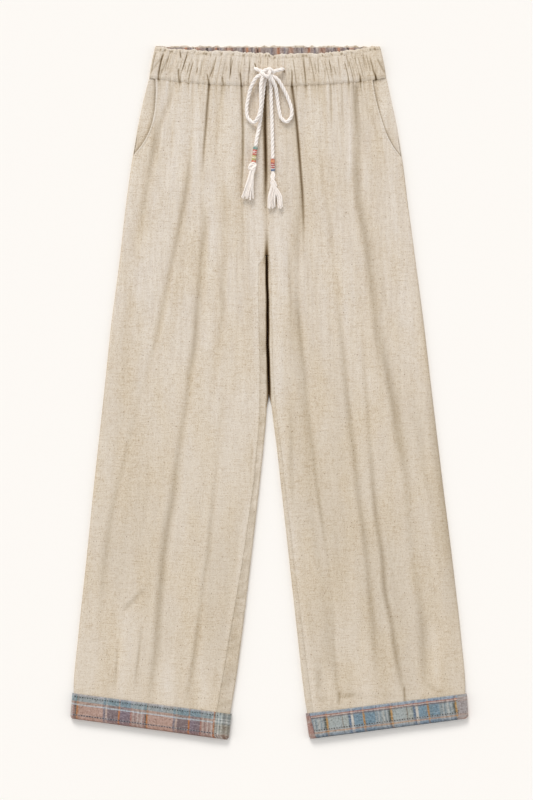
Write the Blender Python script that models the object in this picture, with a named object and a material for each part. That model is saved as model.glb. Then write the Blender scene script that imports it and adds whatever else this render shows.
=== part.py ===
"""Drawstring trousers of slubbed linen, laid flat with their front upwards.

The pieces are those that a maker cuts: two front and two back legs, a gathered
waistband with a checked facing inside its back, a facing behind each pocket
mouth, a turned-up checked cuff round each hem, and a tied cotton drawstring.

Frame: metres, +Z up, origin on the surface, under the middle of the garment.
+Y points to the waist and +X to the wearer's left. The tables and the sizes
below are in millimetres: x runs along +X, and down is measured from the back
edge of the waist towards the hems.
"""

import math
from collections import namedtuple

import bmesh
import bpy
import numpy as np

MM = 0.001
GAP = 0.3                   # between pieces that touch or are sewn together
LAID_GAP = 0.45             # between a panel and a piece that lies along it

# Walls and heights
LINEN = 1.2                 # a leg panel, two layers of gauze
CUFF = 2.2                  # a turned-up cuff, doubled
BAND_BACK = 1.6             # the waistband's back wall
FACING = 1.2                # the checked facing and the pocket facings
LEG_TOP = 5.6               # top of a front leg above the surface
HEM_LIFT = CUFF + GAP       # a back leg lies on the cuff's back at the hem
HEM_TOP = HEM_LIFT + 3.4    # top of a front leg inside the cuff
BAND_TOP = 7.7
BAND_UNDER = 4.6            # inner face of the front waistband

# Waist
WAIST_Y = 520.05            # y of the waist's back edge, which centres the garment
MIDDLE_X = 0.5              # the tables' x of the garment's middle
WAIST_CENTRE = -2.0
WAIST_HALF = 177.5          # half of the waist's width at the seam, laid flat
SEAM_DOWN = 60.0            # the waist seam at the centre front
SEAM_RISE = 12.0            # how much higher the seam is at the sides
NECKLINE_DIP = 16.5         # how far the front edge dips below the back edge
GATHERS = 40                # across the front of the waist
GATHER_HEIGHT = 0.7
GATHER_LENGTH = 26.0        # how far down a leg the gathers fade
GATHER_LEAN = 21.0          # strength of their fan across the waistband
EVEN_LENGTH = 90.0          # how far down a leg its columns have become even
WAIST_SWELL = 0.9           # how much higher the fronts stand at the waist seam
SWELL_LENGTH = 35.0         # how far down a leg that fades
BAND_ROLL = 7.0             # width of the rounded side of the waistband
WAIST_TAPER = 0.052         # how much narrower the waist's edge is than its seam

# Legs
SEAM_SIDE_DOWN = SEAM_DOWN - SEAM_RISE
LEG_ROLL = 5.4              # width of the rounded side of a leg
CUFF_ROLL = LEG_ROLL + CUFF + 0.4
ROLL_STEPS = 3
LEG_ROOM = 0.55             # least room inside a leg under a crease
SEAM_MARGIN = 2.5           # between a panel's edge and its nearest gather
FULL_WRAP = 4.0             # a back turns right over where it comes round this far
WRAP_EASE = 14.0            # the front is flat this close to the back's turned edge
TUCK = 12.0                 # how far a leg reaches into its cuff
CUFF_CLIMB = 30.0           # how far above its cuff a leg starts to climb onto it
CUFF_CLIMBED = 3.0          # and how far above it the climb ends
CUFF_ROUNDING = 0.7         # how much lower a cuff's two edges are
FACING_LAP = 14.0           # how far a pocket facing reaches under the front
FACING_END = 182.0          # and the row of the leg where it stops
FACING_TUCK_DOWN = 122.0    # from here down it slips under the front's own side
FACING_TUCK_LENGTH = 20.0
FACING_TUCK_DROP = 0.6
FACING_INSET = 6.0          # of the checked facing from the waistband's sides

# Drawstring
CORD = 6.2                  # diameter of the twisted cotton
CORD_BED_BAND = 8.9         # what the cord lies on: the waistband's ridges
CORD_BED_LEG = 7.1          # and lower down the ridges of the legs
KNOT_CENTRE = (-3.0, 41.0)
KNOT_RADII = (10.0, 7.2, 6.0)

Section = namedtuple("Section", "down outer inner wrap")
Mouth = namedtuple("Mouth", "down inset")
Fold = namedtuple("Fold", "x_top down_top x_low down_low bow width depth")
Hoop = namedtuple("Hoop", "place height gather")
Corner = namedtuple("Corner", "x down")
Cuff = namedtuple("Cuff", "outer_top outer_low inner_top inner_low outer_wrap inner_wrap")
Leg = namedtuple("Leg", "name side sections mouth cuff")
Row = namedtuple("Row", "outer inner bulge base top room wrap side_wrap below")
Stop = namedtuple("Stop", "x down lift")
Bead = namedtuple("Bead", "along radius")
End = namedtuple("End", "name stops whipping whipping_way head head_way length fan split")

# Outline and inner edge of each leg, and how far the back comes round to the inseam
RIGHT_SECTIONS = (
    Section(48, -179.8, -3.9, 0),
    Section(81, -188.3, -5.4, 0),
    Section(110, -194.6, -6.0, 0),
    Section(141, -200.3, -5.9, 0),
    Section(190, -208.1, -5.0, 0),
    Section(231, -213.8, -4.0, 0),
    Section(300, -221.7, -3.7, 0),
    Section(313, -223.1, -3.7, 0),
    Section(316, -223.4, -3.7, 4),
    Section(330, -225.1, -4.0, 12),
    Section(411, -236.0, -3.5, 12),
    Section(501, -245.5, -2.6, 11),
    Section(561, -251.9, -4.5, 10),
    Section(591, -255.2, -7.2, 9.5),
    Section(651, -261.8, -13.3, 9),
    Section(771, -274.0, -27.0, 12),
    Section(891, -286.8, -41.5, 18),
    Section(960, -293.0, -51.0, 20),
    Section(982, -292.8, -54.8, 20),
    Section(1002, -293.2, -58.4, 20),
    Section(1016, -293.6, -60.4, 20),
)
LEFT_SECTIONS = (
    Section(48, 176.3, -3.5, 0),
    Section(81, 183.5, -5.0, 0),
    Section(110, 189.8, -5.6, 0),
    Section(141, 195.5, -5.5, 0),
    Section(190, 202.6, -4.6, 0),
    Section(231, 207.5, -3.6, 0),
    Section(300, 216.8, -3.3, 0),
    Section(313, 218.4, -3.3, 0),
    Section(316, 218.8, -3.2, 4),
    Section(330, 220.7, -2.9, 5.5),
    Section(411, 231.5, -1.0, 5.5),
    Section(501, 242.0, 1.2, 5.5),
    Section(561, 249.2, 6.3, 6),
    Section(591, 252.8, 10.3, 6),
    Section(651, 260.0, 17.0, 6),
    Section(771, 275.0, 30.3, 7),
    Section(891, 288.5, 43.5, 8),
    Section(960, 294.4, 51.2, 9),
    Section(982, 294.1, 54.2, 9),
    Section(1002, 294.3, 57.6, 9),
    Section(1016, 294.5, 59.6, 9),
)

# Each pocket's mouth: how far inside the outline its folded edge runs
RIGHT_MOUTH = (
    Mouth(48, 9.5), Mouth(75, 16.8), Mouth(108, 20.2),
    Mouth(137, 14.9), Mouth(152, 8.0), Mouth(164, 0.0),
)
LEFT_MOUTH = (
    Mouth(48, 21.0), Mouth(75, 22.3), Mouth(108, 20.6),
    Mouth(134, 16.3), Mouth(150, 10.5), Mouth(168, 0.0),
)

# Corners of the cuffs, and how far each back cuff comes round at its two edges
RIGHT_CUFF = Cuff(Corner(-295.2, 970.5), Corner(-298.2, 1008.8),
                  Corner(-55.8, 1002.3), Corner(-60.6, 1040.6), 0, 21)
LEFT_CUFF = Cuff(Corner(296.8, 971.4), Corner(299.2, 1008.8),
                 Corner(55.0, 1001.4), Corner(60.4, 1039.2), 15, 9)

LEGS = (
    Leg("right", -1, RIGHT_SECTIONS, RIGHT_MOUTH, RIGHT_CUFF),
    Leg("left", 1, LEFT_SECTIONS, LEFT_MOUTH, LEFT_CUFF),
)

# Creases pressed into the front, from the waist to the hems
FOLDS = (
    Fold(-88, 20, -106, 196, 3, 5.0, 2.4),
    Fold(-42, 30, -42, 190, 2, 5.0, 1.7),
    Fold(-4.5, 20, -3.6, 214, -1.5, 4.5, 2.4),
    Fold(34, 25, 51, 264, 0, 5.0, 2.4),
    Fold(-69, 30, -72, 96, 0, 5.0, 1.2),
    Fold(-133, 30, -168, 163, 2, 9.0, 0.9),
    Fold(93, 50, 93, 150, 0, 8.0, 0.9),
    Fold(127, 90, 128, 200, 0, 9.0, 0.9),
    Fold(-136, 266, -208, 585, 2, 8.0, 1.5),
    Fold(-96, 256, -136, 620, 6, 8.0, 2.2),
    Fold(-135, 600, -174, 985, -7, 8.0, 2.4),
    Fold(-67, 276, -77, 562, 0, 11.0, 0.9),
    Fold(-186, 800, -238, 866, 0, 6.0, 1.2),
    Fold(-82, 640, -125, 985, 4, 7.0, 1.8),
    Fold(-191, 872, -203, 965, 0, 5.0, 1.2),
    Fold(-226, 890, -230, 968, 0, 5.0, 1.0),
    Fold(33, 270, 68, 632, -4, 7.0, 1.8),
    Fold(96, 290, 132, 630, -3, 7.0, 1.5),
    Fold(138, 285, 164, 540, 0, 6.0, 1.9),
    Fold(154, 340, 197, 600, 0, 8.0, 1.3),
    Fold(63, 600, 104, 985, 3, 7.0, 1.8),
    Fold(150, 590, 200, 985, -4, 8.0, 2.3),
    Fold(136, 695, 149, 825, 0, 7.0, 1.1),
    Fold(229, 865, 233, 965, 0, 6.0, 1.2),
)

# Rows of the leg panels, measured down their inner edge
LEG_ROWS = (60, 67, 82, 108, 138, 158, 170, 182, 245, 313, 314.5, 316, 330, 420, 520, 620,
            720, 820, 915, 972, 999, 1014)
CUFF_ROWS = (0.0, 0.06, 0.32, 0.90, 1.0)

# Outer face of the front waistband from its edge to the seam: header frill,
# the stitched row under it, and the casing over the elastic
BAND_HOOPS = (
    Hoop(0.00, 6.6, 1.0), Hoop(0.06, 7.6, 1.2), Hoop(0.15, 6.6, 0.9), Hoop(0.28, 7.7, 0.7),
    Hoop(0.60, 7.9, 0.6), Hoop(0.88, 7.6, 0.9), Hoop(1.00, 6.5, 1.1),
)
# Upper face of the checked facing inside the back
FACING_GATHERS = 32
FACING_HOOPS = (
    Hoop(2.2, 2.9, 0.6), Hoop(5.5, 3.4, 0.7), Hoop(9.0, 2.9, 0.5), Hoop(46.0, 3.1, 0.2),
)

# The drawstring's way: lift counts cords lying under it
RIGHT_END = (
    Stop(-22.0, 32.0, -0.36), Stop(-22.0, 32.0, 0.0), Stop(-19.5, 33.4, 0.45), Stop(-12, 37, 0.6),
    Stop(-3, 41, 0.5),
)
LEFT_END = (
    Stop(22.0, 33.0, -0.36), Stop(22.0, 33.0, 0.0), Stop(19.0, 34.0, 0.45), Stop(9, 36.5, 0.6),
    Stop(-3, 40, 0.5),
)
RIGHT_LOOP = (
    Stop(-3, 40, 0.8), Stop(-15.8, 44.5, 0.8), Stop(-25.8, 60, 0.35), Stop(-31.5, 80, 0.0),
    Stop(-33.5, 96, 0.0), Stop(-31.0, 109, 0.1), Stop(-23.3, 115, 0.45), Stop(-16.5, 108, 0.98),
    Stop(-12.8, 94, 1.08), Stop(-12.4, 74, 1.08), Stop(-11.5, 55, 1.05), Stop(-5, 42, 0.9),
)
LEFT_LOOP = (
    Stop(-3, 41, 0.8), Stop(10, 47, 0.8), Stop(20.5, 63, 0.35), Stop(29.3, 81, 0.0),
    Stop(33.8, 96, 0.0), Stop(33.0, 107, 0.0), Stop(25.8, 114, 0.0), Stop(18.6, 108.6, 0.0),
    Stop(14.9, 96, 0.0), Stop(12.3, 78, 0.05), Stop(9.6, 62, 0.65), Stop(4.5, 51, 1.12),
    Stop(-2, 42, 1.0),
)
RIGHT_TAIL = (
    Stop(-5.5, 43, 0.2), Stop(-6.6, 53, 0.0), Stop(-9.0, 73, 0.0), Stop(-11.0, 92, 0.0),
    Stop(-12.9, 110, 0.0), Stop(-15.6, 126, 0.0), Stop(-18.4, 139, 0.26), Stop(-20.2, 151.4, 0.27),
)
LEFT_TAIL = (
    Stop(1.5, 43, 0.2), Stop(2.4, 53, 0.0), Stop(3.2, 81, 0.0), Stop(4.2, 110, 0.0),
    Stop(5.0, 138, 0.0), Stop(5.6, 170.0, 0.08),
)

# Turned profiles along each tail's end: thread whipping, then the tassel's head
RIGHT_WHIPPING = (Bead(0, 3.0), Bead(1.2, 3.7), Bead(22, 3.7), Bead(23.2, 3.0))
LEFT_WHIPPING = (Bead(0, 3.0), Bead(1.0, 3.5), Bead(17, 3.5), Bead(18, 3.0))
RIGHT_HEAD = (Bead(0, 2.8), Bead(2.5, 4.3), Bead(6.0, 4.8), Bead(9.5, 4.2), Bead(12, 3.4),
              Bead(14, 3.6))
LEFT_HEAD = (Bead(0, 3.0), Bead(4, 3.5), Bead(9, 3.2), Bead(14, 3.5), Bead(18, 3.4))

# Both ends: the ways are sideways and downwards, the length is the strands',
# fan is how much wider they end and split how far they part into two bunches
ENDS = (
    End("right", RIGHT_TAIL, RIGHT_WHIPPING, (-3.0, 23.0), RIGHT_HEAD, (-6.5, 40.0), 44.0, 2.7, 0.0),
    End("left", LEFT_TAIL, LEFT_WHIPPING, (0.2, 19.0), LEFT_HEAD, (0.3, 40.0), 41.0, 1.7, 2.2),
)
STRAND_RINGS = ((0.0, 1), (1.45, 6), (2.75, 12))    # radius, strands
STRAND_TOP = 0.52           # a strand's radius at its root
STRAND_SWELL = 0.16         # and how much thicker it ends
ROOT_DEPTH = 1.5            # of the strands in the tassel's head


# ---- small maths ----

def smooth(t):
    """Soft step from 0 to 1."""
    t = np.clip(t, 0.0, 1.0)
    return t * t * (3.0 - 2.0 * t)


def read(table, name, at):
    """A table column as a smooth curve, read at `at` down the garment."""
    down = np.array([row.down for row in table], float)
    value = np.array([getattr(row, name) for row in table], float)
    slope = np.gradient(value, down)
    at = np.clip(at, down[0], down[-1])
    i = np.clip(np.searchsorted(down, at, side="right") - 1, 0, len(down) - 2)
    span = down[i + 1] - down[i]
    t = (at - down[i]) / span
    return (value[i] * (1 + 2 * t) * (1 - t) ** 2 + slope[i] * span * t * (1 - t) ** 2
            + value[i + 1] * t * t * (3 - 2 * t) - slope[i + 1] * span * t * t * (1 - t))


def along(points, spacing):
    """Evenly spaced points on the smooth curve through the given points."""
    points = np.array(points, float)
    steps = np.linalg.norm(np.diff(points, axis=0), axis=1)
    knots = np.concatenate([[0.0], np.cumsum(steps)])
    slope = np.gradient(points, knots, axis=0)
    fine = np.linspace(0, knots[-1], 400)
    i = np.clip(np.searchsorted(knots, fine, side="right") - 1, 0, len(knots) - 2)
    span = (knots[i + 1] - knots[i])[:, None]
    t = ((fine - knots[i]) / span[:, 0])[:, None]
    curve = (points[i] * (1 + 2 * t) * (1 - t) ** 2 + slope[i] * span * t * (1 - t) ** 2
             + points[i + 1] * t * t * (3 - 2 * t) - slope[i + 1] * span * t * t * (1 - t))
    length = np.concatenate([[0.0], np.cumsum(np.linalg.norm(np.diff(curve, axis=0), axis=1))])
    count = max(3, int(round(length[-1] / spacing)) + 1)
    places = np.linspace(0, length[-1], count)
    return np.stack([np.interp(places, length, curve[:, k]) for k in range(3)], axis=1)


def to_world(x, down, z):
    """Garment places in millimetres as metres in the part's frame."""
    x, down, z = np.broadcast_arrays(x, down, z)
    return np.stack([x - MIDDLE_X, WAIST_Y - down, z], axis=-1) * MM


# ---- the front's form ----

def relief(x, down):
    """Rise and fall of the laid cloth: soft waves and the pressed creases."""
    rise = (0.30 * np.sin(x / 31.0 + down / 170.0 + 0.6)
            + 0.22 * np.sin(x / 17.0 - down / 240.0))
    for fold in FOLDS:
        t = (down - fold.down_top) / (fold.down_low - fold.down_top)
        axis = fold.x_top + (fold.x_low - fold.x_top) * t + 4 * fold.bow * t * (1 - t)
        away = np.abs(x - axis) / fold.width
        fade = smooth(t / 0.18) * smooth((1 - t) / 0.18)
        trough = np.exp(-away ** 2)
        shoulder = 0.28 * np.exp(-((away - 1.9) / 0.9) ** 2)
        rise = rise + fold.depth * fade * (shoulder - trough)
    return rise


def gather_place(half_wave):
    """x on the waist seam of a gather's crest or trough, unevenly spaced."""
    t = half_wave / (2.0 * GATHERS)
    uneven = 0.009 * np.sin(17.0 * t + 1.0) + 0.006 * np.sin(38.0 * t)
    ends = np.sin(math.pi * t)
    return WAIST_CENTRE + WAIST_HALF * (2.0 * (t + uneven * ends) - 1.0)


def gather_rise(half_wave):
    """Height of a gather: crests up, troughs down, each of its own strength."""
    gather = half_wave / 2.0
    strength = 0.78 + 0.24 * np.sin(1.7 * gather + 0.5) + 0.16 * np.sin(4.1 * gather)
    return GATHER_HEIGHT * strength * np.cos(math.pi * half_wave)


def waist_seam(x):
    """How far down the waist seam runs at x."""
    across = np.minimum(np.abs(x - WAIST_CENTRE) / WAIST_HALF, 1.0)
    return SEAM_DOWN - SEAM_RISE * across ** 2.5


# ---- rows across a leg or a cuff ----

def leg_row(leg, down_inner):
    """One row across a leg, straight from its side to its inner edge."""
    cuff = leg.cuff
    share = (down_inner - SEAM_DOWN) / (cuff.inner_top.down + TUCK - SEAM_DOWN)
    down_outer = SEAM_SIDE_DOWN + share * (cuff.outer_top.down + TUCK - SEAM_SIDE_DOWN)
    outer = Corner(read(leg.sections, "outer", down_outer), down_outer)
    inner = Corner(read(leg.sections, "inner", down_inner), down_inner)
    climb = down_inner - cuff.inner_top.down + CUFF_CLIMB
    to_hem = smooth(climb / (CUFF_CLIMB - CUFF_CLIMBED))
    below = down_inner - SEAM_DOWN
    base = HEM_LIFT * to_hem
    swell = WAIST_SWELL * math.exp(-below / SWELL_LENGTH)
    top = LEG_TOP + (HEM_TOP - LEG_TOP) * to_hem + swell
    downs = [row.down for row in leg.sections]
    wrap = np.interp(down_inner, downs, [row.wrap for row in leg.sections])
    bulge = SEAM_RISE * smooth(1 - below / EVEN_LENGTH)
    edge = GAP * float(below == 0)
    outer = Corner(outer.x, outer.down + edge)
    inner = Corner(inner.x, inner.down + edge)
    room = top - base - 2 * LINEN - LEG_ROOM
    return Row(outer, inner, bulge, base, top, room, wrap, 0.0, below)


def cuff_row(leg, place):
    """One row across a cuff, from 0 at its upper edge to 1 at its fold."""
    cuff = leg.cuff

    def between(a, b):
        return Corner(a.x + (b.x - a.x) * place, a.down + (b.down - a.down) * place)

    top = HEM_TOP + LAID_GAP + CUFF
    room = HEM_TOP - HEM_LIFT - 2 * LINEN - LEG_ROOM
    return Row(between(cuff.outer_top, cuff.outer_low), between(cuff.inner_top, cuff.inner_low),
               0.0, 0.0, top, room, cuff.inner_wrap, cuff.outer_wrap, None)


def row_width(row):
    return math.hypot(row.inner.x - row.outer.x, row.inner.down - row.outer.down)


def front_end(row):
    """How far across a row the front reaches, up to where the back has come round."""
    if row.wrap < FULL_WRAP:
        return row_width(row)
    return row_width(row) - row.wrap - GAP / 2


def on_row(row, inset):
    """x and down of places measured inwards from a row's side."""
    share = np.asarray(inset, float) / row_width(row)
    x = row.outer.x + (row.inner.x - row.outer.x) * share
    down = row.outer.down + (row.inner.down - row.outer.down) * share
    straight = waist_seam(x) - (SEAM_SIDE_DOWN + (SEAM_DOWN - SEAM_SIDE_DOWN) * share)
    return x, down + straight * row.bulge / SEAM_RISE


def spread(start, roll, end, count):
    """Places across a row: close together round the rolled side, then even."""
    turn = start + roll * (1 - np.cos(np.linspace(0, math.pi / 2, ROLL_STEPS + 1)))
    return np.concatenate([turn, np.linspace(turn[-1], end, count - ROLL_STEPS)[1:]])


def front_points(row, places, wall, roll, drop=0.0, gather=0.0, own_side=0.0):
    """Upper and lower points of a piece of the front along one row.

    drop is how far the piece lies below the front's own surface, and own_side
    where its rounded side starts.
    """
    x, down = on_row(row, places)
    flat = smooth((front_end(row) - places) / WRAP_EASE) if row.wrap > 0 else 1.0
    rise = np.maximum(relief(x, down) * flat, -row.room) + gather
    middle = (row.base + row.top + GAP) / 2
    cosine = np.clip(1 - (places - own_side) / roll, 0.0, 1.0)
    sine = np.sqrt(1 - cosine ** 2)
    height = middle + (row.top - drop + rise - middle) * sine
    inner_x, inner_down = on_row(row, places + wall * cosine)
    upper = to_world(x, down, height)
    lower = to_world(inner_x, inner_down, height - wall * sine)
    return upper, lower


def edge_curl(turn, radius, run, length, wall, steps):
    """Cloth that turns up from the surface: offsets outwards and up, both faces.

    The strip is `length` long. Its last part turns through `turn` round
    `radius` and then runs straight on for `run`.
    """
    flat = length - radius * turn - run
    place = np.concatenate([np.linspace(0, length - run, steps), [length]])
    angle = np.clip((place - flat) / radius, 0, turn)
    past = np.maximum(place - flat - radius * turn, 0)
    out = np.minimum(place, flat) + radius * np.sin(angle) + past * np.cos(angle)
    up = radius * (1 - np.cos(angle)) + past * np.sin(angle)
    faces = [(out, up), (out - wall * np.sin(angle), up + wall * np.cos(angle))]
    return faces, out.max()


def back_points(row, wall, columns):
    """Outer and inner points of a back piece along one row.

    The cloth rises from the flat to meet the front at the side, and at the
    inner edge of the leg it turns right over onto the front, as far as the wrap.
    """
    width = row_width(row)
    radius = (row.top - row.base - GAP) / 2
    over = row.side_wrap > 0
    side_turn = math.pi if over else math.pi / 2
    side_run = max(row.side_wrap - radius - GAP / 2, 0.2)
    side, side_reach = edge_curl(side_turn, radius, side_run,
                                 side_turn * radius + side_run, wall, 5 if over else 3)
    turn = math.pi * float(smooth(row.wrap / FULL_WRAP))
    run = max(row.wrap - radius - GAP / 2, 0.2)
    inner, inner_reach = edge_curl(turn, radius, run, math.pi * radius + run, wall, 5)
    faces = []
    for (side_out, side_up), (inner_out, inner_up) in zip(side, inner):
        flat = np.linspace(side_reach, width - inner_reach, columns)[1:-1]
        places = np.concatenate([(side_reach - side_out)[::-1], flat,
                                 width - inner_reach + inner_out])
        level = side_up[0] + np.zeros(len(flat))
        heights = row.base + np.concatenate([side_up[::-1], level, inner_up])
        x, down = on_row(row, places)
        faces.append(to_world(x, down, heights))
    return faces


# ---- meshes ----

def material(name, colour, roughness):
    made = bpy.data.materials.new(name)
    made.use_nodes = True
    shader = made.node_tree.nodes["Principled BSDF"]
    shader.inputs["Base Color"].default_value = (*colour, 1.0)
    shader.inputs["Roughness"].default_value = roughness
    shader.inputs["Metallic"].default_value = 0.0
    return made


def add_object(name, mesh, cloth):
    made = bpy.data.objects.new(name, mesh)
    made.data.materials.append(cloth)
    bpy.context.scene.collection.objects.link(made)
    return made


def add_wall(name, upper, lower, cloth):
    """Closed cloth between two grids of points that share their columns.

    Each grid is a list of rows. The faces' rows are bridged, and the four
    edges are closed between the two faces.
    """
    bm = bmesh.new()
    grids = [[[bm.verts.new(point) for point in row] for row in grid] for grid in (upper, lower)]
    top, under = grids
    for grid in grids:
        for row, after in zip(grid, grid[1:]):
            for k in range(len(row) - 1):
                bm.faces.new((row[k], row[k + 1], after[k + 1], after[k]))
    for a, b in ((top[0], under[0]), (top[-1], under[-1])):
        for k in range(len(a) - 1):
            bm.faces.new((a[k], a[k + 1], b[k + 1], b[k]))
    for end in (0, -1):
        if len(top) == len(under):
            for k in range(len(top) - 1):
                bm.faces.new((top[k][end], top[k + 1][end], under[k + 1][end], under[k][end]))
        else:
            rim = [row[end] for row in top] + [row[end] for row in reversed(under)]
            bm.faces.new(rim)
    bmesh.ops.recalc_face_normals(bm, faces=bm.faces)
    mesh = bpy.data.meshes.new(name)
    bm.to_mesh(mesh)
    bm.free()
    mesh.shade_smooth()
    mesh.set_sharp_from_angle(angle=math.radians(50))
    return add_object(name, mesh, cloth)


def add_turned(name, start, direction, beads, cotton, sides=12):
    """Solid of revolution along a direction, through (along, radius) beads."""
    direction = np.array(direction, float) / np.linalg.norm(direction)
    across = np.cross(direction, (0.0, 0.0, 1.0))
    across /= np.linalg.norm(across)
    upward = np.cross(across, direction)
    bm = bmesh.new()
    rings = []
    for bead in beads:
        centre = np.array(start, float) + direction * bead.along * MM
        ring = []
        for k in range(sides):
            angle = 2 * math.pi * k / sides
            spoke = across * math.cos(angle) + upward * math.sin(angle)
            ring.append(bm.verts.new(centre + spoke * bead.radius * MM))
        rings.append(ring)
    for ring, after in zip(rings, rings[1:]):
        for k in range(sides):
            j = (k + 1) % sides
            bm.faces.new((ring[k], ring[j], after[j], after[k]))
    bm.faces.new(rings[0])
    bm.faces.new(rings[-1])
    bmesh.ops.recalc_face_normals(bm, faces=bm.faces)
    mesh = bpy.data.meshes.new(name)
    bm.to_mesh(mesh)
    bm.free()
    mesh.shade_smooth()
    mesh.set_sharp_from_angle(angle=math.radians(50))
    return add_object(name, mesh, cotton)


# ---- legs ----

def leg_columns(leg):
    """The gathers' crests and troughs, as shares of the way from the pocket's
    mouth to the centre seam, and their heights.
    """
    row = leg_row(leg, SEAM_DOWN)
    mouth = leg.mouth[0].inset
    half_waves = np.arange(2 * GATHERS + 1)
    places = (gather_place(half_waves) - row.outer.x) * -leg.side
    inside = (places > mouth + SEAM_MARGIN) & (places < row_width(row) - SEAM_MARGIN)
    order = slice(None, None, -leg.side)
    shares = (places[inside][order] - mouth) / (row_width(row) - mouth)
    return np.concatenate([[0.0], shares, [1.0]]), gather_rise(half_waves[inside][order])


def mouth_inset(leg, row):
    downs = [stop.down for stop in leg.mouth]
    if row.outer.down > downs[-1]:
        return 0.0
    return max(float(read(leg.mouth, "inset", row.outer.down)), 0.0)


def leg_front(leg, linen):
    shares, rises = leg_columns(leg)
    rises = np.concatenate([[0.0], rises, [0.0]])
    upper, lower = [], []
    for down in LEG_ROWS:
        row = leg_row(leg, down)
        start = mouth_inset(leg, row)
        end = front_end(row)
        even = spread(start, LEG_ROLL, end, len(shares))
        gathered = start + (end - start) * shares
        ease = float(smooth(row.below / EVEN_LENGTH))
        places = gathered + (even - gathered) * ease
        fade = math.exp(-row.below / GATHER_LENGTH)
        top, under = front_points(row, places, LINEN, LEG_ROLL, gather=rises * fade)
        upper.append(top)
        lower.append(under)
    return add_wall("leg_front_" + leg.name, upper, lower, linen)


def leg_back(leg, linen):
    faces = []
    for down in LEG_ROWS:
        faces.append(back_points(leg_row(leg, down)._replace(bulge=0.0), LINEN, 4))
    return add_wall("leg_back_" + leg.name, [f[0] for f in faces], [f[1] for f in faces], linen)


def pocket_facing(leg, linen):
    """The cloth seen in a pocket's mouth, which runs on under the front."""
    lowered = FACING + LAID_GAP
    upper, lower = [], []
    for down in [stop for stop in LEG_ROWS if stop <= FACING_END]:
        row = leg_row(leg, down)
        fade = math.exp(-row.below / GATHER_LENGTH)
        tucked = float(smooth((row.outer.down - FACING_TUCK_DOWN) / FACING_TUCK_LENGTH))
        drop = lowered + GATHER_HEIGHT * fade + FACING_TUCK_DROP * tucked
        side = lowered * tucked
        end = max(mouth_inset(leg, row), 2.0) + FACING_LAP
        places = spread(side, LEG_ROLL - lowered, end, 8)
        top, under = front_points(row, places, FACING, LEG_ROLL - lowered, drop=drop,
                                  own_side=side)
        upper.append(top)
        lower.append(under)
    return add_wall("pocket_facing_" + leg.name, upper, lower, linen)


def cuff_front(leg, check):
    upper, lower = [], []
    for place in CUFF_ROWS:
        row = cuff_row(leg, place)
        start = row.side_wrap + (GAP / 2 if row.side_wrap else 0.0)
        places = spread(start, CUFF_ROLL, front_end(row), 28)
        rounded = CUFF_ROUNDING if place in (CUFF_ROWS[0], CUFF_ROWS[-1]) else 0.0
        top, under = front_points(row, places, CUFF, CUFF_ROLL)
        top[:, 2] -= rounded * MM * smooth(places / CUFF_ROLL)
        upper.append(top)
        lower.append(under)
    return add_wall("cuff_front_" + leg.name, upper, lower, check)


def cuff_back(leg, check):
    faces = [back_points(cuff_row(leg, place), CUFF, 8) for place in (0.0, 0.5, 1.0)]
    return add_wall("cuff_back_" + leg.name, [f[0] for f in faces], [f[1] for f in faces], check)


# ---- waistband ----

def waist_sides(down):
    """x of the waistband's two sides."""
    spread_out = 1.0 - WAIST_TAPER * (1 - down / SEAM_SIDE_DOWN) ** 1.4
    return WAIST_CENTRE - WAIST_HALF * spread_out, WAIST_CENTRE + WAIST_HALF * spread_out


def waistband_front(linen):
    """Gathered casing: a plain inner face and an outer face of crests and troughs."""
    half_waves = np.arange(4 * GATHERS + 1) / 2
    across = (gather_place(half_waves) - WAIST_CENTRE) / WAIST_HALF
    dip = NECKLINE_DIP * np.cos(across * math.pi / 2)
    foot = waist_seam(gather_place(half_waves))
    middle = (BAND_TOP + GAP) / 2

    def row(place, height, rise):
        down = dip + (foot - dip) * place
        low, high = waist_sides(np.minimum(down, SEAM_SIDE_DOWN))
        half = (high - low) / 2
        lean = GATHER_LEAN * (place - 1) * across * (1 - across ** 2)
        x = WAIST_CENTRE + half * across + lean
        inset = half - np.abs(x - WAIST_CENTRE)
        cosine = np.clip(1 - inset / BAND_ROLL, 0.0, 1.0)
        sine = np.sqrt(1 - cosine ** 2)
        return x, down, middle + (height - middle) * sine + rise * sine, cosine

    upper = []
    for hoop in BAND_HOOPS:
        rise = hoop.gather * gather_rise(half_waves)
        x, down, z, _ = row(hoop.place, hoop.height, rise)
        upper.append(to_world(x, down, z))
    lower = []
    for place in (0.0, 1.0):
        x, down, z, cosine = row(place, BAND_UNDER, 0.0)
        inward = -np.sign(across) * (BAND_TOP - BAND_UNDER) * cosine
        lower.append(to_world(x + inward, down, z))
    return add_wall("waistband_front", upper, lower, linen)


def waistband_back(linen):
    """Flat back wall, turned up at its sides to meet the front."""
    faces = []
    for place in (0.0, 0.5, 1.0):
        low, high = waist_sides(SEAM_SIDE_DOWN * place)
        radius = (BAND_TOP - GAP) / 2
        curl, reach = edge_curl(math.pi / 2, radius, 0.2, radius * math.pi / 2 + 0.2,
                                BAND_BACK, 5)
        pair = []
        for out, up in curl:
            flat = np.linspace(low + reach, high - reach, 22)[1:-1]
            x = np.concatenate([low + reach - out[::-1], flat, high - reach + out])
            z = np.concatenate([up[::-1], np.full(len(flat), up[0]), up])
            across = np.abs(x - WAIST_CENTRE) / WAIST_HALF
            foot = SEAM_DOWN - (SEAM_DOWN - SEAM_SIDE_DOWN) * np.minimum(across, 1.0)
            ruffle = 0.5 * np.sin(x / 7.0) * (1 - place)
            pair.append(to_world(x, foot * place + ruffle, z))
        faces.append(pair)
    return add_wall("waistband_back", [f[0] for f in faces], [f[1] for f in faces], linen)


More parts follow.
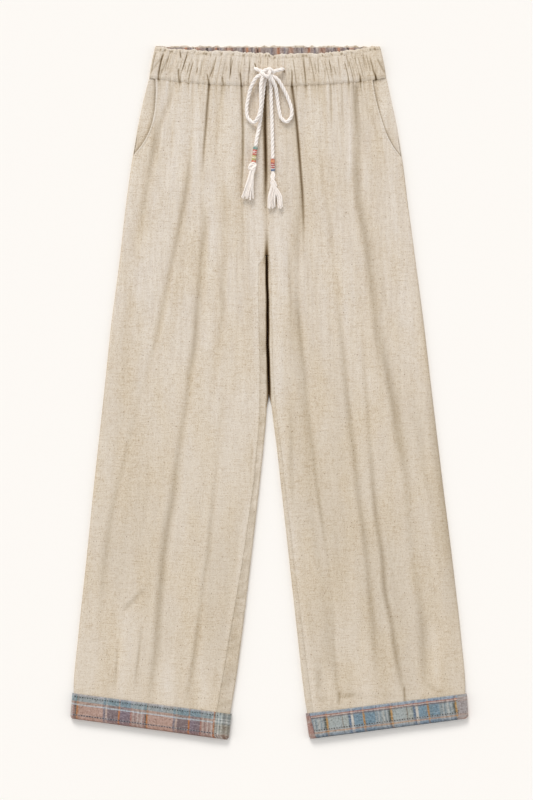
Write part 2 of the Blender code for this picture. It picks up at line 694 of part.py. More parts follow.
def waistband_facing(check):
    """Gathered checked cloth inside the back waistband."""
    half_waves = np.arange(2 * FACING_GATHERS + 1)
    across = 2.0 * half_waves / half_waves[-1] - 1.0
    uneven = 0.012 * np.sin(9.0 * across + 1.0) * (1 - across ** 2)
    upper = []
    for hoop in FACING_HOOPS:
        low, high = waist_sides(hoop.place)
        half = (high - low) / 2 - FACING_INSET
        x = WAIST_CENTRE + half * (across + uneven)
        rise = hoop.gather * (0.8 + 0.3 * np.sin(2.3 * half_waves)) * np.cos(math.pi * half_waves)
        down = np.minimum(hoop.place, waist_seam(x) - 2.0)
        upper.append(to_world(x, down, hoop.height + rise))
    floor = (BAND_BACK + GAP) * MM
    lower = [np.column_stack([row[:, :2], np.full(len(row), floor)])
             for row in (upper[0], upper[-1])]
    return add_wall("waistband_facing", upper, lower, check)


# ---- drawstring ----

def cord_bed(down):
    """Height of the ridges that the drawstring lies on."""
    return CORD_BED_BAND + (CORD_BED_LEG - CORD_BED_BAND) * smooth((down - 56.0) / 40.0)


def cord_way(stops, spacing=1.25 * CORD):
    """World points of a cord's middle, a little over a diameter apart."""
    down = np.array([stop.down for stop in stops], float)
    lift = np.array([stop.lift for stop in stops], float)
    z = cord_bed(down) + CORD / 2 + lift * (CORD + GAP)
    return along(to_world([stop.x for stop in stops], down, z), spacing * MM)


def knot_middle():
    x, down = KNOT_CENTRE
    return to_world(x, down, CORD_BED_BAND + KNOT_RADII[2])


def outside_knot(points, radius, spacing=1.25 * CORD):
    """Cuts a cord's way back to where its end just clears the knot."""
    middle = knot_middle()
    reach = (np.array(KNOT_RADII) + GAP) * MM
    fine = along(points, 0.25 * MM)
    heading = np.gradient(fine, axis=0)
    heading /= np.linalg.norm(heading, axis=1)[:, None]
    side = np.cross(heading, (0.0, 0.0, 1.0))
    side /= np.linalg.norm(side, axis=1)[:, None]
    other = np.cross(side, heading)
    clear = np.ones(len(fine), bool)
    for k in range(12):
        angle = 2 * math.pi * k / 12
        rim = fine + radius * MM * (side * math.cos(angle) + other * math.sin(angle))
        clear &= (((rim - middle) / reach) ** 2).sum(axis=1) > 1.0
    clear &= (((fine - middle) / reach) ** 2).sum(axis=1) > 1.0
    kept = np.flatnonzero(clear)
    return along(fine[kept[0]:kept[-1] + 1], spacing * MM)


def add_cord(name, points, cotton):
    curve = bpy.data.curves.new(name, "CURVE")
    curve.dimensions = "3D"
    curve.bevel_depth = CORD / 2 * MM
    curve.bevel_resolution = 2
    curve.use_fill_caps = True
    spline = curve.splines.new("POLY")
    spline.points.add(len(points) - 1)
    for point, place in zip(spline.points, points):
        point.co = (*place, 1.0)
    return add_object(name, curve, cotton)


def knot(cotton):
    """The bow's knot, as one rounded lump of wrapped cord."""
    x_radius, down_radius, z_radius = KNOT_RADII
    stations = np.linspace(-0.97, 0.97, 9)
    beads = [Bead(x_radius * (1 + s), down_radius * math.sqrt(1 - s * s)) for s in stations]
    start = knot_middle() - np.array([x_radius * MM, 0, 0])
    made = add_turned("drawstring_knot", start, (1, 0, 0), beads, cotton, sides=14)
    for vertex in made.data.vertices:
        vertex.co.z = start[2] + (vertex.co.z - start[2]) * z_radius / down_radius
    return made


def strands(start, direction, end):
    """One mesh of three-sided strands that spread from a tassel's head."""
    across = np.cross(direction, (0.0, 0.0, 1.0))
    upward = np.array((0.0, 0.0, 1.0))
    roots = []
    for ring, count in STRAND_RINGS:
        for k in range(count):
            angle = 2 * math.pi * k / count
            roots.append((ring * math.cos(angle), ring * math.sin(angle)))
    bm = bmesh.new()
    for number, (side, up) in enumerate(roots):
        reach = end.length * (1.0 + 0.05 * math.sin(2.4 * number))
        gone = end.split * math.copysign(1.0, side - 0.7)
        rings = []
        for t in (0.0, 0.22, 0.5, 0.78, 1.0):
            opened = smooth(t)
            middle = (direction * (t * reach - ROOT_DEPTH)
                      + across * (side * (1 + (end.fan - 1) * opened) + gone * opened)
                      + upward * up * (1 - 0.12 * opened))
            thick = STRAND_TOP + STRAND_SWELL * t
            ring = []
            for k in range(3):
                angle = 2 * math.pi * k / 3 + math.pi / 2
                spoke = across * math.cos(angle) + upward * math.sin(angle)
                ring.append(bm.verts.new(np.array(start, float) + (middle + spoke * thick) * MM))
            rings.append(ring)
        for ring, after in zip(rings, rings[1:]):
            for k in range(3):
                j = (k + 1) % 3
                bm.faces.new((ring[k], ring[j], after[j], after[k]))
        bm.faces.new(rings[0])
        bm.faces.new(rings[-1])
    bmesh.ops.recalc_face_normals(bm, faces=bm.faces)
    mesh = bpy.data.meshes.new("strands")
    bm.to_mesh(mesh)
    bm.free()
    return mesh


def tassel(end, start, cotton):
    """A head with its strands rooted in it."""
    name = "tassel_" + end.name
    heading = np.array([end.head_way[0], -end.head_way[1], 0.0])
    heading /= np.linalg.norm(heading)
    made = add_turned(name, start, heading, end.head, cotton)
    root = start + heading * end.head[-1].along * MM
    fringe = add_object(name + "_fringe", strands(root, heading, end), cotton)
    fringe.hide_render = True
    fringe.display_type = "WIRE"
    union = made.modifiers.new("Fringe", "BOOLEAN")
    union.operation = "UNION"
    union.object = fringe
    return made


def drawstring(cotton, thread):
    for name, stops in (("right", RIGHT_END), ("left", LEFT_END)):
        way = outside_knot(cord_way(stops, 0.3 * CORD), CORD / 2, spacing=0.35 * CORD)
        add_cord("drawstring_end_" + name, way, cotton)
    knot(cotton)
    add_cord("drawstring_loop_right", outside_knot(cord_way(RIGHT_LOOP), CORD / 2), cotton)
    add_cord("drawstring_loop_left", outside_knot(cord_way(LEFT_LOOP), CORD / 2), cotton)
    for end in ENDS:
        way = outside_knot(cord_way(end.stops), CORD / 2)
        add_cord("drawstring_tail_" + end.name, way, cotton)
        heading = np.array([end.whipping_way[0], -end.whipping_way[1], 0.0])
        heading /= np.linalg.norm(heading)
        start = way[-1] + heading * GAP * MM
        add_turned("whipping_" + end.name, start, heading, end.whipping, thread)
        start = start + heading * (end.whipping[-1].along + GAP) * MM
        tassel(end, start, cotton)


# ---- the garment ----

def build():
    for old in list(bpy.data.objects):
        bpy.data.objects.remove(old, do_unlink=True)
    linen = material("beige linen", (0.66, 0.58, 0.46), 0.90)
    check = material("checked cotton", (0.38, 0.34, 0.34), 0.90)
    cotton = material("cream cotton cord", (0.86, 0.80, 0.74), 0.85)
    thread = material("coloured thread", (0.46, 0.24, 0.16), 0.70)
    for leg in LEGS:
        leg_back(leg, linen)
        leg_front(leg, linen)
        pocket_facing(leg, linen)
        cuff_back(leg, check)
        cuff_front(leg, check)
    waistband_back(linen)
    waistband_facing(check)
    waistband_front(linen)
    drawstring(cotton, thread)


build()
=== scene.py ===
# Drawstring trousers of slubbed linen with checked cuffs, laid flat.
# Tables and sizes are in millimetres: x runs to the wearer's left, down from the
# back edge of the waist towards the hems, and z up from the surface.

import math

import bmesh
import bpy
import mathutils
import numpy as np
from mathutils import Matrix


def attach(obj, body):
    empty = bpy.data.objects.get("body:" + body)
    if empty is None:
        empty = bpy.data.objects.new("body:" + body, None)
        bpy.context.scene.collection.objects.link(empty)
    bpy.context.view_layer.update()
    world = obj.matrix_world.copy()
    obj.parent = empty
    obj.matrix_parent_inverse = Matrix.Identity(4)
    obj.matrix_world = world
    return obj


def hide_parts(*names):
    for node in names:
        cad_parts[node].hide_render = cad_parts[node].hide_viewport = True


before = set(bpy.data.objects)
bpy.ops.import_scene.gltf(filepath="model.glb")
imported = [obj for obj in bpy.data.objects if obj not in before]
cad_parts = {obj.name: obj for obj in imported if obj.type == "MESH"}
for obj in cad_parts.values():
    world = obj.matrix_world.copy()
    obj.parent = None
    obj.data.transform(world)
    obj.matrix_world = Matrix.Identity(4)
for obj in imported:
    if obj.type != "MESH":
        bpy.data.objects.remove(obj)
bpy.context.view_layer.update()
mm = 0.001
print("frame loaded,", len(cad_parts), "nodes")

# sizes that every piece shares
garment = {
    "waistY": 520.05,        # y of the waist's back edge
    "middleX": 0.5,          # x of the frame's middle
    "gap": 0.1,              # between pieces
    "linenWall": 1.0,
    "cuffWall": 2.0,
    "waistCentre": -2.0,
    "waistHalf": 177.5,
    "seamDown": 60.0,        # the waist seam at the centre front
    "seamRise": 12.0,        # and how much higher it is at the sides
    "gathers": 40,
    "gatherHeight": 0.75,
    "legTop": 5.6,
    "hemLift": 2.5,
    "hemTop": 5.9,
    "cuffRise": 2.65,        # of the cuff's face over the leg's
    "checkHeight": 39.0,     # of a cuff's check, from its top edge to its bottom edge
    "legRoll": 5.4,          # width of a leg's rounded side
    "cuffRoll": 8.0,
}

legRight = {
    "suffix": "_right", "side": -1,
    "down": [48, 81, 110, 141, 190, 231, 300, 313, 316, 330, 411, 501, 561, 591, 651, 771, 891,
             960, 982, 1002, 1016],
    "outer": [-179.8, -188.3, -194.6, -200.3, -208.1, -213.8, -221.7, -223.1, -223.4, -225.1,
              -236.0, -245.5, -251.9, -255.2, -261.8, -274.0, -286.8, -293.0, -292.8, -293.2,
              -293.6],
    "inner": [-3.9, -5.4, -6.0, -5.9, -5.0, -4.0, -3.7, -3.7, -3.7, -4.0, -3.5, -2.6, -4.5,
              -7.2, -13.3, -27.0, -41.5, -51.0, -54.8, -58.4, -60.4],
    # how far the back comes round onto the front at the inside of the leg
    "wrap": [0, 0, 0, 0, 0, 0, 0, 0, 4, 12, 12, 11, 10, 9.5, 9, 12, 18, 20, 20, 20, 20],
    "mouthDown": [48, 75, 108, 137, 152, 164],
    "mouthInset": [9.5, 16.8, 20.2, 14.9, 8.0, 0.0],
    "cuff": {"outerTop": (-295.2, 970.5), "outerLow": (-298.2, 1008.8),
             "innerTop": (-55.8, 1002.3), "innerLow": (-60.6, 1040.6),
             "outerWrap": 0, "innerWrap": 21},
}
legLeft = {
    "suffix": "_left", "side": 1,
    "down": legRight["down"],
    "outer": [176.3, 183.5, 189.8, 195.5, 202.6, 207.5, 216.8, 218.4, 218.8, 220.7, 231.5, 242.0,
              249.2, 252.8, 260.0, 275.0, 288.5, 294.4, 294.1, 294.3, 294.5],
    "inner": [-3.5, -5.0, -5.6, -5.5, -4.6, -3.6, -3.3, -3.3, -3.2, -2.9, -1.0, 1.2, 6.3, 10.3,
              17.0, 30.3, 43.5, 51.2, 54.2, 57.6, 59.6],
    "wrap": [0, 0, 0, 0, 0, 0, 0, 0, 4, 5.5, 5.5, 5.5, 6, 6, 6, 7, 8, 9, 9, 9, 9],
    "mouthDown": [48, 75, 108, 134, 150, 168],
    "mouthInset": [21.0, 22.3, 20.6, 16.3, 10.5, 0.0],
    "cuff": {"outerTop": (296.8, 971.4), "outerLow": (299.2, 1008.8),
             "innerTop": (55.0, 1001.4), "innerLow": (60.4, 1039.2),
             "outerWrap": 15, "innerWrap": 9},
}

# The long creases of the front legs, and the ridges between them, which have a shade
# below 0. First how far one reaches to its left and right and its depth, then its
# stops: down, x, and how dark it is there, where 1 is the shade of a deep fold.
longFolds = [
    ((6.5, 5.0, 1.2), [(50, -138, .28), (85, -150, .28), (120, -164, .34), (150, -170, .40),
                       (185, -177, .28), (260, -191, .21), (310, -197, .10), (345, -201, 0)]),
    ((5.0, 5.0, 0.5), [(62, -172, 0), (85, -176, .18), (115, -178, .16), (145, -180, 0)]),
    ((2.5, 2.5, 0.4), [(95, -146, 0), (115, -146, .14), (150, -145, .12), (175, -145, 0)]),
    ((1.5, 2.0, 1.6), [(50, -90, .75), (80, -91.5, .85), (110, -94, .79), (140, -97, .60),
                       (165, -99, .36), (185, -100, .10), (205, -100, 0)]),
    ((5.0, 6.0, 1.4), [(60, -91, .10), (150, -98, .20), (190, -100, .20), (225, -100, .10),
                       (260, -97, .29), (330, -103, .29), (420, -109, .42), (520, -122, .32),
                       (600, -134, .28), (690, -147, .38), (800, -162, .38), (860, -167, .33),
                       (920, -171, .26), (960, -177, .14), (992, -182, 0)]),
    ((4.0, 4.5, 1.1), [(118, -114, 0), (170, -118, .21), (200, -122, .34), (290, -139, .34),
                       (370, -155, .24), (410, -163, .26), (500, -186, .10), (560, -202, .10),
                       (650, -224, .16), (800, -250, .14), (860, -255, .06), (920, -256, 0)]),
    ((1.5, 1.5, 0.3), [(56, -114, .05), (80, -114, .16), (120, -114, .12), (145, -115, 0)]),
    ((2.2, 2.2, 0.5), [(50, -69, .29), (90, -74, .21), (140, -79, .14), (170, -81, 0)]),
    ((4.0, 4.5, 0.8), [(185, -68, 0), (235, -67, .24), (300, -69, .12), (400, -70, .18),
                       (440, -75, .12), (540, -84, 0)]),
    ((3.2, 4.0, 1.0), [(495, -68, 0), (550, -71, .14), (600, -76, .10), (700, -85, .18),
                       (750, -90, .24), (830, -101, .14), (900, -110, .26), (940, -115, .20),
                       (990, -124, 0)]),
    ((1.5, 1.8, 1.4), [(50, -41.5, .85), (90, -40, .85), (130, -38.5, .85), (165, -39, .79),
                       (190, -40, .60), (215, -42, .21), (250, -41, .08), (300, -38, .05),
                       (340, -40, 0)]),
    ((4.0, 3.0, 0.7), [(56, -42, .10), (120, -41, .12), (190, -42, .26), (230, -42, .16),
                       (280, -39, .10), (335, -40, 0)]),
    ((3.0, 2.3, 2.4), [(50, -5.5, 1.28), (90, -6, 1.60), (120, -6, 1.92), (160, -5, 1.92),
                       (190, -4.5, 1.60), (215, -4.2, 1.08), (240, -4, .40), (270, -3.8, 0)]),
    ((4.0, 4.0, 0.4), [(330, -26, 0), (380, -25, .08), (450, -26, .08), (520, -28, 0)]),
    ((2.0, 2.0, 0.6), [(585, -25, 0), (610, -26, .29), (640, -27, .26), (670, -28, .10),
                       (705, -30, 0)]),
    ((6.0, 8.0, 0.5), [(340, -205, 0), (400, -212, .10), (540, -222, .08), (640, -234, 0)]),
    ((2.0, 2.5, 0.7), [(865, -190, 0), (900, -194, .24), (945, -199, .20), (968, -201, 0)]),
    ((2.0, 2.5, 0.7), [(880, -226, 0), (905, -227, .18), (955, -231, .18), (972, -233, 0)]),
    ((9.0, 9.0, 1.0), [(66, -60, 0), (120, -57, -.14), (175, -58, -.14), (240, -62, 0)]),
    ((6.0, 7.0, 0.8), [(60, -106, 0), (110, -106, -.08), (165, -110, -.07), (195, -112, 0)]),
    ((8.0, 9.0, 0.8), [(66, -130, 0), (130, -135, -.11), (200, -142, -.08), (300, -158, 0)]),
    ((5.0, 6.0, 0.8), [(120, -17, 0), (180, -15, -.11), (240, -15, -.13), (300, -13, -.10),
                       (400, -13, 0)]),
    ((6.0, 7.0, 0.8), [(240, -88, 0), (320, -86, -.08), (380, -86, -.07), (430, -90, -.11),
                       (530, -98, 0)]),
    ((9.0, 10.0, 0.6), [(840, -214, 0), (885, -216, -.08), (950, -220, -.13), (985, -222, -.03)]),
    ((8.0, 10.0, 0.6), [(890, -101, 0), (940, -100, -.08), (975, -98, -.14), (1005, -97, -.03)]),
    ((9.0, 8.0, 0.6), [(910, -152, 0), (955, -152, -.13), (990, -152, -.03)]),
    ((1.8, 1.5, 2.0), [(50, 34, .99), (80, 37.5, 1.04), (120, 42, 1.20), (160, 45.5, 1.12),
                       (200, 48.5, 1.08), (235, 50.5, .90), (258, 51, .70), (280, 51.3, .34),
                       (310, 51.6, .16), (350, 52, 0)]),
    ((5.0, 3.0, 0.8), [(60, 34, .10), (120, 40, .26), (200, 47, .29), (260, 49, .10),
                       (290, 49, 0)]),
    ((10.0, 4.5, 1.2), [(185, 43, 0), (250, 46, .26), (290, 45, .26), (330, 43, .21),
                        (370, 43, .24), (430, 47, .29), (470, 50, .21), (560, 56, .14),
                        (720, 66, .10), (840, 88, .10), (900, 92, .14), (965, 98, 0)]),
    ((2.5, 3.0, 0.9), [(380, 43, 0), (410, 45, .16), (450, 49, .14), (540, 57, .10),
                       (610, 65, .24), (660, 71, .24), (700, 77, .28), (740, 83, .14),
                       (840, 95, .12), (900, 98, .16), (960, 102, .14), (1003, 106, 0)]),
    ((3.0, 4.0, 0.8), [(290, 30, 0), (330, 31, .20), (370, 32, .21), (410, 33, .12),
                       (475, 34, 0)]),
    ((9.0, 7.0, 1.0), [(235, 11, 0), (280, 14, -.13), (330, 17, -.14), (400, 18, -.13),
                       (450, 17, -.14), (500, 16, -.10), (600, 22, 0)]),
    ((4.2, 4.6, 1.1), [(125, 80, 0), (160, 80, .14), (200, 81, .14), (270, 92, .20),
                       (370, 103, .16), (460, 112, .26), (530, 118, .26), (610, 128, .28),
                       (690, 136, .24), (730, 142, .28), (780, 148, .21), (830, 152, .26),
                       (870, 157, .24), (945, 163, 0)]),
    ((1.2, 1.5, 0.6), [(50, 92.5, .10), (80, 93, .40), (110, 93.5, .29), (132, 94, 0)]),
    ((1.2, 1.4, 0.4), [(52, 110, .12), (90, 109, .21), (125, 111, .14), (145, 112, 0)]),
    ((2.5, 3.5, 0.8), [(50, 131, .40), (75, 131, .29), (100, 131, .10), (125, 132, 0)]),
    ((5.5, 7.5, 1.7), [(60, 131, .20), (100, 131, .36), (150, 133, .34), (200, 132, .34),
                       (240, 135, .34), (290, 144, .37), (360, 153, .36), (400, 158, .29),
                       (460, 170, .34), (530, 184, .37), (600, 197, .28), (650, 206, .18),
                       (740, 212, .12), (830, 225, .18), (870, 230, .26), (920, 232, .18),
                       (975, 236, 0)]),
    ((3.6, 4.0, 1.6), [(410, 141, 0), (450, 142, .10), (540, 147, .20), (600, 151, .18),
                       (680, 158, .36), (750, 167, .37), (790, 172, .45), (830, 176, .44),
                       (870, 184, .34), (910, 190, .42), (940, 196, .29), (985, 205, .10)]),
    ((3.0, 3.0, 0.7), [(400, 157, 0), (430, 160, .14), (470, 164, .16), (540, 171, 0)]),
    ((5.0, 5.0, 0.5), [(78, 138, 0), (95, 148, .12), (125, 161, .14), (150, 167, .14),
                       (235, 176, 0)]),
    ((4.0, 5.0, 0.5), [(290, 167, 0), (350, 171, .08), (420, 184, .07), (560, 204, 0)]),
    ((5.0, 5.0, 0.5), [(300, 129, 0), (350, 133, .08), (435, 139, 0)]),
    ((10.0, 12.0, 0.6), [(290, 217, 0), (360, 226, .12), (450, 238, .21), (520, 246, .28),
                         (650, 259, .29), (720, 267, .26), (790, 276, .21), (930, 292, 0)]),
    ((3.5, 4.0, 0.6), [(535, 32, 0), (570, 33, .14), (640, 33, .16), (720, 35, 0)]),
    ((2.5, 3.0, 0.5), [(835, 42, 0), (880, 49, .10), (920, 53, .14), (995, 64, 0)]),
    ((5.0, 6.0, 0.5), [(530, 220, 0), (590, 226, .12), (700, 244, .12), (805, 260, 0)]),
    ((4.0, 4.0, 0.4), [(925, 76, 0), (955, 75, .16), (980, 74, 0)]),
    ((6.0, 6.0, 0.8), [(115, 13, 0), (160, 17, -.10), (220, 15, -.10), (260, 13, 0)]),
    ((5.0, 5.0, 0.6), [(64, 61, 0), (100, 64, -.10), (200, 70, 0)]),
    ((3.0, 3.0, 0.6), [(85, 120, 0), (130, 122, -.13), (170, 121, -.10), (210, 119, 0)]),
    ((8.0, 8.0, 0.8), [(250, 71, 0), (320, 74, -.09), (380, 78, -.07), (500, 86, 0)]),
    ((6.0, 6.0, 0.6), [(125, 141, 0), (170, 143, -.07), (260, 148, 0)]),
    ((7.0, 7.0, 0.6), [(750, 121, 0), (810, 126, -.07), (890, 130, 0)]),
    ((12.0, 12.0, 0.6), [(870, 141, 0), (940, 144, -.10), (975, 145, -.13), (995, 145, -.03)]),
    ((10.0, 12.0, 0.6), [(850, 247, 0), (900, 250, -.10), (960, 252, -.11), (980, 253, 0)]),
    ((4.0, 5.0, 0.5), [(925, 87, 0), (960, 90, -.11), (995, 92, 0)]),
]
# Short straight wrinkles: x and down at one end and at the other, how far each bows,
# how far it reaches to its left and right, its depth and how dark it is
legWrinkles = [
    (-183, 812, -222, 850, 0, 2.5, 5.0, 1.3, 0.34),
    (96, 973, 150, 976, 0, 2.0, 2.6, 0.8, 0.34),
    (150, 978, 196, 973, 0, 1.6, 2.2, 0.7, 0.30),
    (104, 988, 107, 968, 0, 1.5, 1.9, 1.0, 0.36),
    (203, 958, 203, 990, 0, 1.4, 1.6, 1.2, 0.55),
    (236, 958, 262, 974, 0, 2.0, 3.0, 0.7, 0.30),
    (60, 985, 92, 979, 0, 2.4, 3.0, 0.7, 0.24),
    (-16, 590, -27, 668, 0, 1.5, 1.5, 0.4, 0.22),
]
# painted shade at the waist seam's tightest points: x, how dark, how long above and below the seam
seamPinches = [
    (-166.0, 1.2, 7, 5), (-133.5, 0.9, 12, 8), (-120, 0.35, 5, 6), (-90.0, 0.75, 10, 12),
    (-66, 0.5, 8, 16), (-42.0, 0.6, 12, 12), (-24, 0.4, 6, 10), (-4.5, 0.5, 8, 12),
    (15, 0.5, 6, 12), (34.5, 0.7, 12, 12), (55, 0.5, 8, 10), (74.5, 0.6, 6, 14),
    (97, 0.45, 8, 12), (119, 0.45, 8, 20), (137.4, 0.9, 6, 12), (160.5, 1.4, 10, 4),
]


def smooth(t):
    t = np.clip(t, 0.0, 1.0)
    return t * t * (3.0 - 2.0 * t)


def cubic(values, slopes, i, span, t):
    # the smooth curve from stop i to the next, at the share t of the span between them
    return (values[i] * (1 + 2 * t) * (1 - t) ** 2 + slopes[i] * span * t * (1 - t) ** 2
            + values[i + 1] * t * t * (3 - 2 * t) - slopes[i + 1] * span * t * t * (1 - t))


def walked(points):
    # how far each point lies along the line through them all
    return np.concatenate([[0.0], np.cumsum(np.linalg.norm(np.diff(points, axis=0), axis=1))])


def column(table, name, at):
    # a table column as a smooth curve over its "down" column
    down = np.array(table["down"], float)
    value = np.array(table[name], float)
    slope = np.gradient(value, down)
    at = np.clip(at, down[0], down[-1])
    i = np.clip(np.searchsorted(down, at, side="right") - 1, 0, len(down) - 2)
    span = down[i + 1] - down[i]
    return cubic(value, slope, i, span, (at - down[i]) / span)


def unevenness(x, y, seed):
    # soft random heights from -1 to 1, about one to each unit of x and y
    table = np.random.default_rng(seed).random((64, 64)) * 2 - 1
    i, j = np.floor(x).astype(int), np.floor(y).astype(int)
    u, v = smooth(x - i), smooth(y - j)
    a = table[i % 64, j % 64] * (1 - u) + table[(i + 1) % 64, j % 64] * u
    b = table[i % 64, (j + 1) % 64] * (1 - u) + table[(i + 1) % 64, (j + 1) % 64] * u
    return a * (1 - v) + b * v


def toWorld(x, down, z):
    x, down, z = np.broadcast_arrays(x, down, z)
    return np.stack([x - garment["middleX"], garment["waistY"] - down, z], axis=-1) * mm


def foldProfile(share, shoulderHeight, shoulderWidth):
    # a fold's valley at 0, and the low shoulders on both sides of it
    away = np.abs(share)
    shoulder = shoulderHeight * np.exp(-((away - 2.0) / shoulderWidth) ** 2)
    return np.exp(-away ** 1.7), shoulder


def longCreases(x, down):
    # heights and shades that the long creases give the front of the legs
    rise, shade = np.zeros_like(x), np.zeros_like(x)
    for (left, right, depth), stops in longFolds:
        line = dict(zip(("down", "x", "shade"), zip(*stops)))
        wander = 0.9 * unevenness(down / 45.0, np.full_like(x, stops[0][1]), 11)
        away = x - column(line, "x", down) - wander
        share = np.abs(away) / np.where(away < 0, left, right)
        inside = (down >= line["down"][0]) & (down <= line["down"][-1])
        dark = column(line, "shade", down) * inside
        valley, shoulder = foldProfile(share, 0.25, 0.8)
        deepest = max(np.abs(line["shade"]))
        rise += depth * dark / deepest * (shoulder - valley)
        shade += dark * valley - 0.12 * np.minimum(dark, 0.8) * shoulder
    return rise, shade


def creases(folds, x, down):
    # heights and shades that a list of short wrinkles gives the cloth
    rise, shade = np.zeros_like(x), np.zeros_like(x)
    for x0, down0, x1, down1, bow, left, right, depth, dark in folds:
        run = math.hypot(x1 - x0, down1 - down0)
        alongX, alongDown = (x1 - x0) / run, (down1 - down0) / run
        t = ((x - x0) * alongX + (down - down0) * alongDown) / run
        away = (x - x0) * alongDown - (down - down0) * alongX - 4 * bow * t * (1 - t)
        away = away - 0.5 * unevenness(t * run / 20.0, np.full_like(t, x0), 11)
        away = away - 0.25 * unevenness(t * run / 8.0, np.full_like(t, x1), 13)
        share = away / np.where(away < 0, left, right)
        strength = 0.85 + 0.30 * unevenness(t * run / 50.0, np.full_like(t, x1), 12)
        fade = smooth(t / 0.2) * smooth((1 - t) / 0.25) * strength
        valley, shoulder = foldProfile(share, 0.28, 0.9)
        rise += depth * fade * (shoulder - valley)
        shade += dark * fade * valley - 0.10 * min(dark, 1.0) * fade * shoulder
    return rise, shade


def pinches(x, fromSeam):
    # painted shade at points along the waist seam; fromSeam is positive below it
    shade = np.zeros_like(x)
    for place, dark, above, below in seamPinches:
        reach = np.where(fromSeam < 0, above, below)
        lean = 0.10 * fromSeam * place / garment["waistHalf"]
        width = 1.0 + 0.9 * np.exp(-np.abs(fromSeam) / 3.0)
        shade += dark * np.exp(-((x - place - lean) / width) ** 2 - np.abs(fromSeam) / reach)
    return shade


def fanned(x, down):
    # how far out across its leg a place lies, at an even width of 200 mm
    inner = 3.5 + 0.11 * np.maximum(down - 520.0, 0.0)
    outer = 178.0 + 0.122 * down
    return np.sign(x + 3.0) * (np.abs(x) - inner) / (outer - inner) * 200.0


# soft unevenness of the laid cloth: how much, its size across a leg and down it, seed
ripples = [(0.20, 7.5, 110.0, 1), (0.10, 3.4, 70.0, 2)]
streaks = [(0.06, 10.0, 170.0, 3), (0.05, 3.6, 75.0, 5)]


def laidCloth(x, down):
    # heights and shades of the front of the legs
    rise, shade = longCreases(x, down)
    shortRise, shortShade = creases(legWrinkles, x, down)
    rise, shade = rise + shortRise, shade + shortShade
    fan = fanned(x, down)
    # long slow waves, then ripples and streaks that are weaker low on the legs
    rise += 0.20 * np.sin(fan / 27.0 + down / 170.0 + 0.6)
    rise += 0.14 * np.sin(fan / 14.0 - down / 240.0)
    calm = 1.0 - 0.5 * smooth((down - 360.0) / 160.0)
    for surface, table in ((rise, ripples), (shade, streaks)):
        for amount, across, run, seed in table:
            surface += amount * calm * unevenness(fan / across, down / run, seed)
    shade += 0.05 * unevenness(fan / 30.0, down / 110.0, 4)
    # fine streaks under the waist seam, then painted shade: darker towards the hems and on the
    # wearer's left, where less light falls
    fromSeam = np.exp(-np.maximum(down - 52.0, 0) / 80.0)
    shade += 0.20 * fromSeam * unevenness(fan / 1.9, down / 50.0, 6)
    shade += 0.13 + 0.14 * smooth((down - 300.0) / 500.0) + 0.04 * smooth((x + 40.0) / 80.0)
    return rise, shade


def gatherPlace(halfWave):
    t = halfWave / (2.0 * garment["gathers"])
    uneven = (0.009 * np.sin(17.0 * t + 1.0) + 0.006 * np.sin(38.0 * t)) * np.sin(math.pi * t)
    return garment["waistCentre"] + garment["waistHalf"] * (2.0 * (t + uneven) - 1.0)


def gatherRise(halfWave):
    gather = halfWave / 2.0
    strength = 0.78 + 0.24 * np.sin(1.7 * gather + 0.5) + 0.16 * np.sin(4.1 * gather)
    return garment["gatherHeight"] * strength * np.cos(math.pi * halfWave)


# for each gather's two creases: darkness, start, end and shift, from 0 to 1
gatherChance = np.random.default_rng(17).random((2, garment["gathers"] + 1, 4))


def slitShade(halfWaves, place):
    # the narrow creases of each gather: their darkness, and where they start and end
    gather = np.clip(halfWaves / 2, 0, garment["gathers"] - 0.01)
    shade = np.zeros_like(halfWaves)
    for layer, centre in enumerate((0.30, 0.72)):
        dark, start, end, shift = gatherChance[layer][gather.astype(int)].T
        slant = 0.10 * (place - 0.5) * (shift - 0.5)
        away = gather - np.floor(gather) - centre - 0.22 * (shift - 0.5) - slant
        away = away * (9.0 + 6.0 * end)
        window = (smooth((place - 0.45 * start + 0.05) / 0.12)
                  * smooth((0.62 + 0.5 * end - place) / 0.18))
        shade = shade + np.exp(-away ** 2) * window * (0.05 + 0.95 * dark ** 2.4)
    return shade


def seamShade(x):
    # the dark line of the waist seam, uneven along its length
    return 0.02 + 0.22 * smooth(0.3 + 1.4 * unevenness(x / 1.8, np.zeros_like(x), 14))


def halfWaveAt(x):
    waves = np.arange(0, 2 * garment["gathers"] + 0.5, 0.5)
    return np.interp(x, gatherPlace(waves), waves)


def waistSeam(x):
    across = np.minimum(np.abs(x - garment["waistCentre"]) / garment["waistHalf"], 1.0)
    return garment["seamDown"] - garment["seamRise"] * across ** 2.5


def legRow(leg, downInner):
    # one row across a leg: its two ends, and the cloth's base and top heights there
    cuff = leg["cuff"]
    top, side = garment["seamDown"], garment["seamDown"] - garment["seamRise"]
    tuck = 12.0                   # how far the leg reaches under its cuff
    share = (downInner - top) / (cuff["innerTop"][1] + tuck - top)
    downOuter = side + share * (cuff["outerTop"][1] + tuck - side)
    toHem = float(smooth((downInner - cuff["innerTop"][1] + 30.0) / 27.0))
    below = downInner - top
    base = garment["hemLift"] * toHem
    height = garment["legTop"] + (garment["hemTop"] - garment["legTop"]) * toHem
    edge = garment["gap"] if below == 0 else 0.0
    return {
        "outer": (float(column(leg, "outer", downOuter)), downOuter + edge),
        "inner": (float(column(leg, "inner", downInner)), downInner + edge),
        "bulge": float(smooth(1 - below / 90.0)),
        "base": base,
        "top": height + 0.9 * math.exp(-below / 35.0),      # fuller under the waist seam
        "wrap": float(np.interp(downInner, leg["down"], leg["wrap"])),
        "outerWrap": 0.0,
        "below": below,
    }


